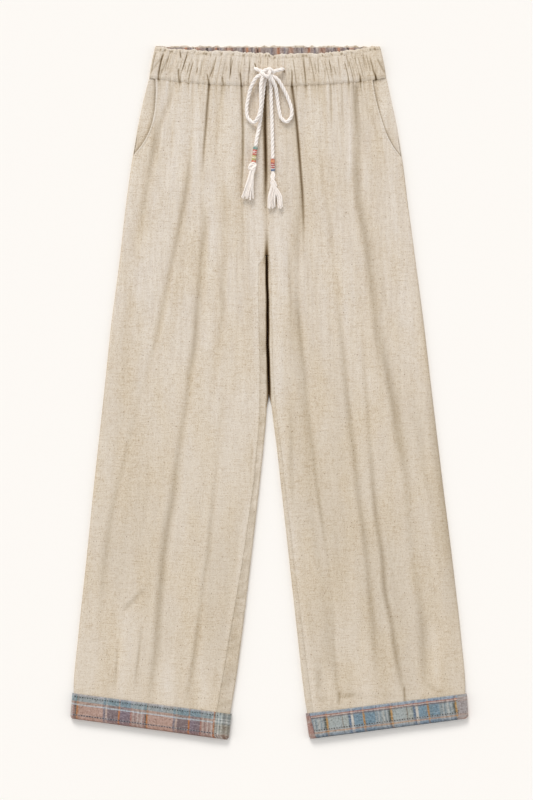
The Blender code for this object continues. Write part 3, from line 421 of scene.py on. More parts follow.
def cuffRow(leg, place):
    # the same for a cuff, with place from 0 at its top edge to 1 at its bottom edge
    cuff = leg["cuff"]
    corner = 1 - math.sqrt(1 - max(place - 0.88, 0.0) ** 2 / 0.0145)

    def between(a, b, rounding):
        return (a[0] + (b[0] - a[0]) * place + rounding * corner, a[1] + (b[1] - a[1]) * place)

    return {
        "outer": between(cuff["outerTop"], cuff["outerLow"], -4.0 * leg["side"]),
        "inner": between(cuff["innerTop"], cuff["innerLow"], 2.0 * leg["side"]),
        "bulge": 0.0, "base": 0.0, "top": garment["hemTop"] + garment["cuffRise"],
        "wrap": cuff["innerWrap"], "outerWrap": cuff["outerWrap"],
    }


def rowWidth(row):
    return math.hypot(row["inner"][0] - row["outer"][0], row["inner"][1] - row["outer"][1])


def frontEnd(row):
    if row["wrap"] < 4.0:        # the two fronts all but meet at the centre seam
        return rowWidth(row) + 0.17
    return rowWidth(row) - row["wrap"] - garment["gap"] / 2


def onRow(row, inset):
    # x and down of places along a row, measured from its outer end
    share = np.asarray(inset, float) / rowWidth(row)
    x = row["outer"][0] + (row["inner"][0] - row["outer"][0]) * share
    down = row["outer"][1] + (row["inner"][1] - row["outer"][1]) * share
    if row["bulge"]:
        straight = garment["seamDown"] - garment["seamRise"] * (1 - share)
        down = down + (waistSeam(x) - straight) * row["bulge"]
    return x, down


def spread(start, roll, end, count, turnSteps=8):
    # places along a row, closer together on the rounded side
    turn = start + roll * (1 - np.cos(np.linspace(0, math.pi / 2, turnSteps + 1)))
    return np.concatenate([turn, np.linspace(turn[-1], end, count - turnSteps)[1:]])


def frontRow(row, places, wall, roll, drop=0.0, ownSide=0.0, extra=0.0, relief=1.0):
    # upper points, lower points and shades of a front piece along one row, lowered by
    # drop, with its side at ownSide and a share of the folds' relief
    x, down = onRow(row, places)
    rise, shade = laidCloth(x, down)
    if row["wrap"] > 0:
        flat = smooth((frontEnd(row) - places) / 14.0)
        rise, shade = rise * flat, shade * (0.4 + 0.6 * flat)
    room = row["top"] - row["base"] - 2 * wall - 0.7
    rise = np.maximum(rise * relief, -room) + extra
    middle = (row["base"] + row["top"] + garment["gap"]) / 2
    cosine = np.clip(1 - (places - ownSide) / roll, 0.0, 1.0)
    sine = np.sqrt(1 - cosine ** 2)
    height = middle + (row["top"] - drop + rise - middle) * sine
    innerX, innerDown = onRow(row, places + wall * cosine)
    upper = np.stack([x, down, height], axis=-1)
    lower = np.stack([innerX, innerDown, height - wall * sine], axis=-1)
    # painted shade where the cloth rounds down at the sides
    return upper, lower, shade + 0.5 * (1 - sine) ** 2


def edgeCurl(turn, radius, run, wall, steps):
    # outer and inner lines of cloth that curls up through turn and then runs on straight,
    # as (out, up) pairs, and how far out it reaches
    length = turn * radius + run
    place = np.concatenate([np.linspace(0, length - run, steps), [length]])
    angle = np.clip(place / radius, 0, turn)
    past = np.maximum(place - radius * turn, 0)
    out = radius * np.sin(angle) + past * np.cos(angle)
    up = radius * (1 - np.cos(angle)) + past * np.sin(angle)
    return [(out, up), (out - wall * np.sin(angle), up + wall * np.cos(angle))], out.max()


def backRow(row, wall, columns, pucker=0.0):
    # outer and inner points of a back piece, which curls up at its side and comes
    # right over onto the front at the inside of the leg
    width = rowWidth(row)
    radius = (row["top"] - row["base"] - garment["gap"]) / 2
    over = row["outerWrap"] > 0
    turn = math.pi if over else math.pi / 2
    run = max(row["outerWrap"] - radius - garment["gap"] / 2, 0.2)
    side, sideReach = edgeCurl(turn, radius, run, wall, 9 if over else 6)
    turn = math.pi * float(smooth(row["wrap"] / 4.0))
    run = max(row["wrap"] - radius - garment["gap"] / 2, 0.2)
    inner, innerReach = edgeCurl(turn, radius, run, wall, 11)
    faces = []
    for (sideOut, sideUp), (innerOut, innerUp) in zip(side, inner):
        flat = np.linspace(sideReach, width - innerReach, columns)[1:-1]
        places = np.concatenate([(sideReach - sideOut)[::-1], flat, width - innerReach + innerOut])
        level = np.full(len(flat), sideUp[0])
        up = np.concatenate([sideUp[::-1], level, innerUp])
        x, down = onRow(dict(row, bulge=0.0), places)
        raised = smooth((up - 2.0) / 3.0)
        faces.append(np.stack([x, down, row["base"] + up + pucker * raised], axis=-1))
    return faces


def hexColour(text):
    # sRGB hex to linear
    parts = [int(text[k:k + 2], 16) / 255 for k in (1, 3, 5)]
    linear = [c / 12.92 if c <= 0.04045 else ((c + 0.055) / 1.055) ** 2.4 for c in parts]
    return (*linear, 1.0)


def addPiece(name, mesh, material):
    mesh.materials.append(material)
    piece = bpy.data.objects.new(name, mesh)
    bpy.context.scene.collection.objects.link(piece)
    return piece


def finishMesh(mesh, sharpAngle=60):
    bm = bmesh.new()
    bm.from_mesh(mesh)
    bmesh.ops.recalc_face_normals(bm, faces=bm.faces)
    bm.to_mesh(mesh)
    bm.free()
    mesh.shade_smooth()
    mesh.set_sharp_from_angle(angle=math.radians(sharpAngle))


# each piece of cloth: its name here, width, length (mm) and area (square metres) of its
# flat cut, and what it lies on
cuts = {
    "leg_front": ("legFront", 300, 1010, 0.231, "leg_back"),
    "leg_back": ("legBack", 330, 1010, 0.262, "floor"),
    "pocket_facing": ("pocketFacing", 38, 124, 0.0036, "leg_back"),
    "cuff_front": ("cuffFront", 240, 40, 0.0086, "leg_front"),
    "cuff_back": ("cuffBack", 290, 40, 0.0112, "floor"),
    "waistband_front": ("waistbandFront", 620, 44, 0.0175, "waistband_back"),
    "waistband_back": ("waistbandBack", 640, 55, 0.0200, "floor"),
    "waistband_facing": ("waistbandFacing", 600, 45, 0.0155, "waistband_back"),
}


def clothPiece(cut, suffix, gridRows, material):
    # closed cloth between two grids of points, given by rows: upper points, lower points,
    # shades and, where the cloth has a chart, the places on it
    name, width, length, area, restsOn = cuts[cut]
    upper, lower, shade, *chart = (np.array(part) for part in zip(*gridRows))
    rows, columns = upper.shape[:2]
    number = np.arange(rows * columns).reshape(rows, columns)
    a, b, c, d = number[:-1, :-1], number[:-1, 1:], number[1:, 1:], number[1:, :-1]
    top = np.stack([a, b, c, d], axis=-1).reshape(-1, 4)
    under = top[:, ::-1] + rows * columns
    ring = np.concatenate([number[0, :], number[1:, -1], number[-1, -2::-1], number[-2:0:-1, 0]])
    after = np.roll(ring, -1)
    rim = np.stack([after, ring, ring + rows * columns, after + rows * columns], axis=-1)
    points = np.concatenate([upper.reshape(-1, 3), lower.reshape(-1, 3)])
    points = toWorld(points[:, 0], points[:, 1], points[:, 2])
    mesh = bpy.data.meshes.new(name + suffix)
    mesh.from_pydata(points.tolist(), [], np.concatenate([top, under, rim]).tolist())
    corners = np.zeros(len(mesh.loops), int)
    finishMesh(mesh)
    mesh.loops.foreach_get("vertex_index", corners)
    uv = chart[0] if chart else upper[:, :, :2]
    flat = np.tile(uv.reshape(-1, 2), (2, 1)) * mm
    mesh.uv_layers.new(name="cloth").data.foreach_set("uv", flat[corners].ravel())
    layer = mesh.attributes.new("shade", "FLOAT", "POINT")
    layer.data.foreach_set("value", np.tile(shade.ravel(), 2))
    piece = addPiece(name + suffix, mesh, material)
    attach(piece, "root")
    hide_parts(cut + suffix)
    if restsOn != "floor":
        restsOn += suffix
    return upper


# kinds of node that come up often
mathNode, mixNode, rampNode = "ShaderNodeMath", "ShaderNodeMix", "ShaderNodeValToRGB"
noiseNode, stretchNode = "ShaderNodeTexNoise", "ShaderNodeMapping"


def addNode(tree, kind, inputs=None, stops=(), **settings):
    # An input is a value, a hex colour, a socket or a node, whose first live output it
    # takes. Stops are a ramp's positions, each with a grey value or a hex colour.
    node = tree.nodes.new(kind)
    for name, value in settings.items():
        setattr(node, name, value)
    for name, value in (inputs or {}).items():
        if isinstance(value, bpy.types.Node):
            value = next(socket for socket in value.outputs if socket.enabled)
        if isinstance(value, bpy.types.NodeSocket):
            tree.links.new(value, node.inputs[name])
        else:
            node.inputs[name].default_value = hexColour(value) if isinstance(value, str) else value
    while stops and len(node.color_ramp.elements) < len(stops):
        node.color_ramp.elements.new(1.0)
    for number, (position, value) in enumerate(stops):
        element = node.color_ramp.elements[number]
        element.position = position
        element.color = hexColour(value) if isinstance(value, str) else (value,) * 3 + (1.0,)
    return node


def newMaterial(name, roughness, sheen=0.0):
    material = bpy.data.materials.new(name)
    material.use_nodes = True
    shader = material.node_tree.nodes["Principled BSDF"]
    shader.inputs["Roughness"].default_value = roughness
    shader.inputs["Specular IOR Level"].default_value = 0.25
    shader.inputs["Sheen Weight"].default_value = sheen
    shader.inputs["Sheen Roughness"].default_value = 0.6
    return material, material.node_tree, shader


linen = {
    "lit": "#eae1d6",        # bleached flax, painted lit on the crinkles' ridges
    # the same flax, painted in shade in the crinkles' hollows
    "shadedFlax": "#e0d6cb",
    "even": "#e5dcd0",       # between the two, where there are few crinkles
    "straw": "#dcc79e",      # washed unevenly
    "tan": "#b59d7c",        # unbleached slubs
    "pale": "#f5efe6",
    "fleck": "#75522a",      # bits of flax stalk
    "grain": 1.6,            # mm: flecked yarn, drawn some twice as coarse as it is
    "thread": 1.55,          # mm: pitch of the yarns, also twice as coarse
    "crinkle": 4.2,          # mm: width of the lengthwise crinkles
    # colours laid over the cloth in turn: which noise shows each, from where to where,
    # and how strongly
    "layers": [
        ("blotch", [(0.42, 0.0), (0.64, 0.19)], "straw"),
        ("speckle", [(0.52, 0.0), (0.68, 0.70)], "tan"),
        ("warp", [(0.56, 0.0), (0.72, 0.32)], "tan"),
        ("weft", [(0.56, 0.0), (0.72, 0.42)], "tan"),
        ("speckle", [(0.32, 0.42), (0.46, 0.0)], "pale"),
        ("warp", [(0.28, 0.22), (0.42, 0.0)], "pale"),
        ("weft", [(0.28, 0.24), (0.42, 0.0)], "pale"),
    ],
    "flecks": [(175.0, 0.56), (300.0, 0.50)],    # how many to a metre, and the share left out
}
# what a shade from 0 to 2.5 does to the cloth's colour, a fifth of the way at 0.5
foldTints = [(0.0, "#ffffff"), (0.1, "#f4f0e9"), (0.2, "#dfd9ce"), (0.4, "#b1a694"),
             (0.6, "#85745c"), (0.8, "#54422c"), (1.0, "#2a1c0f")]


def foldShade(tree, colour, tints=None):
    # the colour, darkened by the shade that the cloth's points carry
    shade = addNode(tree, "ShaderNodeAttribute", attribute_name="shade").outputs["Fac"]
    depth = addNode(tree, mathNode, {0: shade, 1: 0.4}, operation="MULTIPLY")
    tint = addNode(tree, rampNode, {"Fac": depth}, tints or foldTints)
    return addNode(tree, mixNode, {0: 1.0, 6: colour, 7: tint}, data_type="RGBA",
                   blend_type="MULTIPLY")


def finishMaterial(tree, shader, colour, height, strength, distance):
    bump = addNode(tree, "ShaderNodeBump", {
        "Height": height, "Strength": strength, "Distance": distance})
    tree.links.new(colour.outputs[2], shader.inputs["Base Color"])
    tree.links.new(bump.outputs[0], shader.inputs["Normal"])


def linenMaterial():
    # slubbed linen gauze, washed: matt, speckled, with fine lengthwise crinkles whose ridges are
    # painted lit and whose hollows are painted in shade
    material, tree, shader = newMaterial("slubbed linen gauze", 0.95)
    shader.inputs["Specular IOR Level"].default_value = 0.0
    place = addNode(tree, "ShaderNodeTexCoord").outputs["Object"]
    grain, thread, ripple = (500.0 / linen[key] for key in ("grain", "thread", "crinkle"))
    clouds = {}
    for name, stretch, detail, roughness in (
            ("speckle", (grain * 2, grain * 1.7, grain), 3.0, 0.7),
            ("warp", (thread * 2, thread / 2.6, 60), 2.0, 0.5),
            ("weft", (thread / 4, thread * 2, 60), 2.0, 0.5),
            ("blotch", (22, 9, 16), 2.0, 0.5),
            ("crinkle", (ripple * 2, ripple / 6, 20), 2.0, 0.5)):
        stretched = addNode(tree, stretchNode, {"Vector": place, "Scale": stretch})
        clouds[name] = addNode(tree, noiseNode, {
            "Vector": stretched, "Scale": 1.0, "Detail": detail, "Roughness": roughness})
    alongLeg = addNode(tree, "ShaderNodeSeparateXYZ", {"Vector": place}).outputs["Y"]
    high = addNode(tree, mathNode, {0: alongLeg, 1: 0.5}, operation="ADD")
    high = addNode(tree, rampNode, {"Fac": high}, [(0.40, 0.42), (0.68, 1.0)])  # calmer low down
    # painted light and shade on the crinkles: lit on their ridges, shaded in their hollows
    crinkleLight = addNode(tree, rampNode, {"Fac": clouds["crinkle"]}, [(0.34, 0.0), (0.66, 1.0)])
    colour = addNode(tree, mixNode, {0: crinkleLight, 6: linen["shadedFlax"], 7: linen["lit"]},
                     data_type="RGBA")
    colour = addNode(tree, mixNode, {0: high, 6: linen["even"], 7: colour}, data_type="RGBA")
    amount = addNode(tree, rampNode, {"Fac": clouds["blotch"]}, [(0.36, 0.55), (0.64, 0.90)])
    for name, stops, tint in linen["layers"]:
        mask = addNode(tree, rampNode, {"Fac": clouds[name]}, stops)
        if tint == "tan":                # more of it in the yellower places
            mask = addNode(tree, mathNode, {0: mask, 1: amount}, operation="MULTIPLY")
        colour = addNode(tree, mixNode, {0: mask, 6: colour, 7: linen[tint]}, data_type="RGBA")
    for count, leftOut in linen["flecks"]:
        squashed = addNode(tree, stretchNode, {"Vector": place, "Scale": (1.15, 0.8, 1)})
        stalk = addNode(tree, "ShaderNodeTexVoronoi", {
            "Vector": squashed, "Scale": count, "Randomness": 1.0}, feature="F1")
        chosen = addNode(tree, rampNode, {"Fac": stalk.outputs["Color"]},
                         [(leftOut, 0.0), (leftOut + 0.2, 1.0)])
        spot = addNode(tree, rampNode, {"Fac": stalk.outputs["Distance"]},
                       [(0.05, 0.75), (0.17, 0.0)])
        mask = addNode(tree, mathNode, {0: chosen, 1: spot}, operation="MULTIPLY")
        colour = addNode(tree, mixNode, {0: mask, 6: colour, 7: linen["fleck"]}, data_type="RGBA")
    height = addNode(tree, mathNode, {0: clouds["warp"], 1: clouds["weft"]}, operation="ADD")
    for name, share in (("speckle", 0.5), ("crinkle", 1.5)):
        part = addNode(tree, mathNode, {0: clouds[name], 1: share}, operation="MULTIPLY")
        if name == "crinkle":
            part = addNode(tree, mathNode, {0: part, 1: high}, operation="MULTIPLY")
        height = addNode(tree, mathNode, {0: part, 1: height}, operation="ADD")
    finishMaterial(tree, shader, foldShade(tree, colour), height, 0.40, 0.0011)
    return material


def checkedMaterial(name, stripes, bands, patches=(), nap=0.9, tints=None):
    # brushed cotton check: stripes run down the piece and are charted along u, bands
    # run along it and are charted along v, and both threads show where they cross
    material, tree, shader = newMaterial(name, nap, 0.12)
    uv = addNode(tree, "ShaderNodeUVMap", uv_map="cloth")
    apart = addNode(tree, "ShaderNodeSeparateXYZ", {0: uv})
    clouds = {}
    for cloud, stretch, detail, roughness in (
            ("loose", (45, 90, 60), 1.0, 0.5), ("nap", (260, 420, 1), 3.0, 0.7),
            ("yarn", (420, 180, 1), 2.0, 0.6)):      # yarns, drawn coarse
        stretched = addNode(tree, stretchNode, {"Vector": uv, "Scale": stretch})
        clouds[cloud] = addNode(tree, noiseNode, {
            "Vector": stretched, "Scale": 1.0, "Detail": detail, "Roughness": roughness})
    loose = addNode(tree, mathNode, {0: clouds["loose"], 1: 0.5}, operation="SUBTRACT")
    loose = addNode(tree, mathNode, {0: loose, 1: 0.0016}, operation="MULTIPLY")
    cycle = apart.outputs[0]
    for operation, other in (("ADD", loose), ("SUBTRACT", stripes["start"] * mm),
                             ("DIVIDE", stripes["repeat"] * mm), ("ADD", 16.0), ("FRACT", 0.0)):
        cycle = addNode(tree, mathNode, {0: cycle, 1: other}, operation=operation)
    fall = addNode(tree, mathNode, {0: apart.outputs[1], 1: loose}, operation="ADD")
    fall = addNode(tree, mathNode, {0: fall, 1: bands["height"] * mm}, operation="DIVIDE")
    warp = addNode(tree, rampNode, {"Fac": cycle}, stripes["chart"])
    weft = addNode(tree, rampNode, {"Fac": fall}, bands["chart"])
    share = addNode(tree, rampNode, {"Fac": fall}, bands["share"])
    colour = addNode(tree, mixNode, {0: share, 6: warp, 7: weft}, data_type="RGBA")
    for patch in patches:
        slant = addNode(tree, mathNode, {0: apart.outputs[1], 1: patch.get("slant", 0.0)},
                        operation="MULTIPLY")
        span = apart.outputs[0]
        for operation, other in (("SUBTRACT", slant), ("SUBTRACT", patch["from"] * mm),
                                 ("DIVIDE", (patch["to"] - patch["from"]) * mm)):
            span = addNode(tree, mathNode, {0: span, 1: other}, operation=operation)
        after = addNode(tree, mathNode, {0: span, 1: 0.0}, operation="GREATER_THAN")
        before = addNode(tree, mathNode, {0: span, 1: 1.0}, operation="LESS_THAN")
        inside = addNode(tree, mathNode, {0: after, 1: before}, operation="MULTIPLY")
        warp = addNode(tree, rampNode, {"Fac": span}, patch["chart"])
        weft = addNode(tree, rampNode, {"Fac": fall}, patch["bands"])
        mixed = addNode(tree, mixNode, {0: patch["share"], 6: warp, 7: weft}, data_type="RGBA")
        colour = addNode(tree, mixNode, {0: inside, 6: colour, 7: mixed}, data_type="RGBA")
    shown = addNode(tree, mathNode, {0: clouds["yarn"], 1: clouds["nap"]}, operation="ADD")
    shown = addNode(tree, mathNode, {0: shown, 1: 0.5}, operation="MULTIPLY")
    # painted shade: the cloth darker where the yarns' bump is low, in their hollows
    wearAndShade = addNode(tree, rampNode, {"Fac": shown}, [
        (0.36, "#c2bcb9"), (0.5, "#f6f4f2"), (0.62, "#ffffff")])
    colour = addNode(tree, mixNode, {0: 1.0, 6: colour, 7: wearAndShade}, data_type="RGBA",
                     blend_type="MULTIPLY")
    brushed = addNode(tree, rampNode, {"Fac": clouds["nap"]}, [(0.52, 0.0), (0.72, 0.26)])
    colour = addNode(tree, mixNode, {0: brushed, 6: colour, 7: "#e6e2de"}, data_type="RGBA")
    finishMaterial(tree, shader, foldShade(tree, colour, tints), shown, 0.45, 0.0009)
    return material


def cottonMaterial(name, colour, deep, fibreShare=0.25):
    # soft spun cotton, unbleached: matt, with fine fibres along the strand, and painted shade in
    # the grooves between its strands
    material, tree, shader = newMaterial(name, 0.9, 0.3)
    place = addNode(tree, "ShaderNodeTexCoord").outputs["Object"]
    stretched = addNode(tree, stretchNode, {"Vector": place, "Scale": (900, 500, 900)})
    fibre = addNode(tree, noiseNode, {
        "Vector": stretched, "Scale": 1.0, "Detail": 2.0, "Roughness": 0.5})
    grooveShade = addNode(tree, "ShaderNodeAttribute", attribute_name="shade").outputs["Fac"]
    share = addNode(tree, mathNode, {0: fibre, 1: fibreShare}, operation="MULTIPLY")
    tint = addNode(tree, mixNode, {0: share, 6: colour, 7: deep}, data_type="RGBA")
    # painted shade in the grooves, in the deep colour that also tints the fibres
    tint = addNode(tree, mixNode, {0: grooveShade, 6: tint, 7: deep}, data_type="RGBA")
    finishMaterial(tree, shader, tint, fibre, 0.3, 0.0006)
    return material


def threadMaterial(name, bands):
    # mercerised cotton thread, wound tight: slightly shiny, in coloured bands
    material, tree, shader = newMaterial(name, 0.6, 0.1)
    uv = addNode(tree, "ShaderNodeUVMap", uv_map="cloth")
    clouds = []
    for stretch, detail in (((6.0, 9.0, 1), 1.0), ((5.0, 40.0, 1), 2.0)):
        stretched = addNode(tree, stretchNode, {"Vector": uv, "Scale": stretch})
        clouds.append(addNode(tree, noiseNode, {
            "Vector": stretched, "Scale": 1.0, "Detail": detail, "Roughness": 0.5}))
    shift = addNode(tree, mathNode, {0: clouds[0], 1: 0.5}, operation="SUBTRACT")
    shift = addNode(tree, mathNode, {0: shift, 1: 0.16}, operation="MULTIPLY")
    run = addNode(tree, "ShaderNodeSeparateXYZ", {0: uv}).outputs[1]
    run = addNode(tree, mathNode, {0: run, 1: shift}, operation="ADD")
    wound = addNode(tree, rampNode, {"Fac": run}, bands)
    wound.color_ramp.interpolation = "CONSTANT"
    wearAndShade = addNode(tree, rampNode, {"Fac": clouds[1]}, [(0.46, 0.0), (0.66, 0.45)])
    colour = addNode(tree, mixNode, {0: wearAndShade, 6: wound, 7: "#e9ddd6"}, data_type="RGBA")
    tree.links.new(colour.outputs[2], shader.inputs["Base Color"])
    return material


rustCheck = {
    "stripes": {"start": 8.6, "repeat": 105.5, "chart": [
        (0.0, "#b97239"), (0.012, "#b97f4c"), (0.018, "#b08a72"), (0.035, "#ba9d93"),
        (0.370, "#b99b8f"), (0.384, "#807981"), (0.406, "#817a82"), (0.416, "#bba9a0"),
        (0.432, "#bda69c"), (0.442, "#7e7176"), (0.592, "#7b6f73"), (0.600, "#b97439"),
        (0.614, "#b57238"), (0.624, "#7d717f"), (0.762, "#7e717c"), (0.772, "#a06b5d"),
        (0.79, "#aa8e87"), (0.815, "#bdaea9"), (0.83, "#937c7a"), (0.86, "#af9790"),
        (0.875, "#bfb3ad"), (0.89, "#9d8581"), (0.915, "#b29e96"), (0.935, "#c0b4b0"),
        (0.955, "#997e79"), (0.972, "#93756d"), (0.984, "#5f6463"), (0.994, "#786b5a"),
        (1.0, "#b97239")]},
    "bands": {"height": garment["checkHeight"], "chart": [
        (0.0, "#b3c0c9"), (0.05, "#a3b2be"), (0.09, "#83aab7"), (0.27, "#7faab8"),
        (0.295, "#af9481"), (0.315, "#9c9591"), (0.335, "#ac9282"), (0.37, "#a69d9a"),
        (0.39, "#c9d6de"), (0.425, "#bed0dc"), (0.445, "#ab8f87"), (0.78, "#9e7f78"),
        (0.80, "#a3a4aa"), (0.84, "#999ca3"), (0.86, "#a37b72"), (0.97, "#a5796e"),
        (1.0, "#926960")], "share": [
        (0.0, 0.70), (0.10, 0.58), (0.27, 0.58), (0.29, 0.42), (0.36, 0.42), (0.385, 0.66),
        (0.43, 0.66), (0.45, 0.10), (0.78, 0.10), (0.80, 0.42), (0.84, 0.42), (0.86, 0.20),
        (0.95, 0.35), (1.0, 0.55)]},
    "patches": [{"from": 214.5, "to": 248.0, "share": 0.42, "chart": [
        (0.0, "#bd6f33"), (0.06, "#c17c45"), (0.08, "#7c8685"), (0.12, "#cfcfc8"),
        (0.18, "#737f80"), (0.24, "#d5d5cd"), (0.30, "#7d8888"), (0.36, "#cacac1"),
        (0.44, "#757367"), (0.52, "#6f665a"), (0.60, "#aaa698"), (0.68, "#727168"),
        (0.8, "#969286"), (1.0, "#84807c")], "bands": [
        (0.0, "#6f7475"), (0.10, "#99aab3"), (0.20, "#7e8f98"), (0.25, "#d8e0e4"),
        (0.29, "#75838b"), (0.36, "#dce3e6"), (0.42, "#738189"), (0.50, "#afa89c"),
        (0.56, "#746659"), (0.64, "#9b9489"), (0.78, "#aba49b"), (0.82, "#cabdb1"),
        (0.86, "#986b5b"), (1.0, "#855648")]}],
}
blueCheck = {
    "stripes": {"start": 29.6, "repeat": 97.4, "chart": [
        (0.0, "#c3914a"), (0.014, "#bb9256"), (0.026, "#a1aaa9"), (0.04, "#a7afaf"),
        (0.235, "#a6aeae"), (0.245, "#7d6d5f"), (0.258, "#a3aca9"), (0.30, "#b0b5b2"),
        (0.33, "#9ca5a3"), (0.345, "#5c708b"), (0.372, "#647890"), (0.384, "#d1cbc2"),
        (0.412, "#cac5be"), (0.424, "#7792a6"), (0.555, "#7591a5"), (0.566, "#b98846"),
        (0.584, "#b0854a"), (0.596, "#6e8a9d"), (0.745, "#708a9b"), (0.757, "#9da6a9"),
        (0.785, "#818f99"), (0.805, "#b0b6b8"), (0.83, "#7a8a95"), (0.86, "#a9b1b4"),
        (0.885, "#babebd"), (0.91, "#7f8d95"), (0.935, "#afb5b6"), (0.957, "#7d878c"),
        (0.972, "#4c5047"), (0.988, "#645f47"), (1.0, "#c3914a")]},
    "bands": {"height": garment["checkHeight"], "chart": [
        (0.0, "#a2adbc"), (0.06, "#8f9eb4"), (0.10, "#8e9cb1"), (0.125, "#b07562"),
        (0.15, "#aa7160"), (0.175, "#ddccc5"), (0.20, "#7a615f"), (0.235, "#66595c"),
        (0.26, "#8896a2"), (0.30, "#9ba5a8"), (0.66, "#9ba5a8"), (0.69, "#a1a2a1"),
        (0.76, "#a5a5a7"), (0.79, "#bb8e69"), (0.82, "#c1906b"), (0.845, "#a2a8ad"),
        (0.885, "#8b95a3"), (0.91, "#708198"), (0.96, "#657890"), (1.0, "#47586c")], "share": [
        (0.0, 0.78), (0.10, 0.70), (0.13, 0.74), (0.17, 0.74), (0.24, 0.66), (0.27, 0.35),
        (0.30, 0.10), (0.66, 0.10), (0.69, 0.45), (0.78, 0.55), (0.82, 0.60), (0.88, 0.55),
        (0.92, 0.68), (1.0, 0.72)]},
    "patches": [{"from": -9.0, "to": 6.5, "slant": 0.10, "share": 0.40, "chart": [
        (0.0, "#9f7e76"), (0.3, "#af9289"), (0.62, "#a9897f"), (0.90, "#a17d75"),
        (0.95, "#4b494f"), (1.0, "#62707e")], "bands": [
        (0.0, "#959ea5"), (0.09, "#8f98a1"), (0.13, "#9e776d"), (0.28, "#b49d93"),
        (0.36, "#b6b3ad"), (0.42, "#a58075"), (0.80, "#a37e74"), (0.86, "#baaca3"),
        (1.0, "#957972")]},
        {"from": -275.0, "to": -238.0, "share": 0.30, "chart": [
        (0.0, "#a09897"), (0.35, "#9d9696"), (0.62, "#a6a09f"), (0.80, "#b37757"),
        (0.86, "#968d90"), (1.0, "#978f91")], "bands": [
        (0.0, "#a4aeb2"), (0.09, "#aaafae"), (0.13, "#b7886f"), (0.17, "#cec5bc"),
        (0.22, "#af846d"), (0.28, "#a39b9a"), (0.72, "#a19899"), (0.80, "#bd8f70"),
        (0.86, "#b1a8a1"), (0.93, "#b6886d"), (1.0, "#96786b")]}],
}
facingCheck = {
    "stripes": {"start": -8.0, "repeat": 88.0, "chart": [
        (0.0, "#b3a69f"), (0.10, "#a49896"), (0.14, "#c5bdb8"), (0.18, "#8e8891"),
        (0.24, "#bbaaa1"), (0.33, "#bda598"), (0.37, "#d29269"), (0.41, "#d99666"),
        (0.44, "#b0988e"), (0.52, "#b4a29b"), (0.56, "#8a8692"), (0.60, "#cdc5bf"),
        (0.66, "#b1a098"), (0.74, "#cfa48b"), (0.84, "#c39d87"), (0.90, "#b09f99"),
        (1.0, "#b3a69f")]},
    "bands": {"height": 39.0, "chart": [(0.0, "#beb2aa"), (0.15, "#a09697"), (1.0, "#a39a9b")],
              "share": [(0.0, 0.25), (1.0, 0.2)]},
    "nap": 0.92,
    "tints": [(0.0, "#ffffff"), (0.2, "#cfc8c8"), (0.4, "#97908f"), (0.6, "#625c60"),
              (0.8, "#38343b"), (1.0, "#1f1c22")],
}

linenCloth = linenMaterial()
rustCotton = checkedMaterial("brushed cotton check, rust", **rustCheck)
blueCotton = checkedMaterial("brushed cotton check, blue", **blueCheck)
facingCotton = checkedMaterial("brushed cotton check, facing", **facingCheck)
cordCotton = cottonMaterial("twisted unbleached cotton", "#fffaf6", "#e6d7cc")
tasselCotton = cottonMaterial("combed cotton fringe", "#fff7f0", "#eee0d6", 0.14)
rightThread = threadMaterial("whipping thread, right", [
    (0.0, "#a8bdb6"), (0.05, "#5d8f85"), (0.19, "#c95745"), (0.29, "#f0e0d9"), (0.34, "#c04a3f"),
    (0.40, "#f1e3dd"), (0.44, "#c4553f"), (0.53, "#a7773c"), (0.59, "#c9bd7e"), (0.68, "#efe8cf"),
    (0.74, "#b3aa66"), (0.89, "#d9633a")])
leftThread = threadMaterial("whipping thread, left", [
    (0.0, "#c9653f"), (0.10, "#e08c55"), (0.28, "#b24a40"), (0.42, "#f0e2dc"), (0.47, "#a83c3c"),
    (0.60, "#ecdcd6"), (0.65, "#b04b45"), (0.76, "#e8dcda"), (0.83, "#3f6893"), (0.94, "#35587f")])
darkStitch = cottonMaterial("sewing thread, dark", "#262b3a", "#14161d")
brownStitch = cottonMaterial("sewing thread, brown", "#1f1512", "#140d0b")
flaxStitch = cottonMaterial("sewing thread, flax", "#d9ccb2", "#a89370")
print("materials made")


legShape = {
    "rows": 270, "columns": 156, "backRows": 190, "backColumns": 44,
    "crotch": (313.0, 316.0),    # rows lie exactly there, where the backs start to come round
    "gatherFade": 15.0,          # mm that the gathers run down the legs
    "creaseFade": 10.0,          # and their narrow creases
    # the folded edge of the pocket mouth, and the dip beside it: height, place, width
    "welt": [(0.6, 1.2, 1.1), (-0.3, 4.5, 1.3)],
    "stitchPitch": 1.7,          # of the inside seam's sewn look
}


def mouthInset(leg, downOuter):
    # how far in from the leg's side the pocket mouth's edge lies
    if downOuter > leg["mouthDown"][-1]:
        return 0.0
    table = {"down": leg["mouthDown"], "inset": leg["mouthInset"]}
    return max(float(column(table, "inset", downOuter)), 0.0)


def rowDowns(leg, count):
    # rows lie closer near the waist, where the gathers are
    top = garment["seamDown"]
    low = leg["cuff"]["innerTop"][1] + 11.7
    t = np.linspace(0, 1, count)
    downs = top + (low - top) * (0.55 * t + 0.45 * t * t)
    for special in legShape["crotch"]:
        downs[np.abs(downs - special).argmin()] = special
    return downs


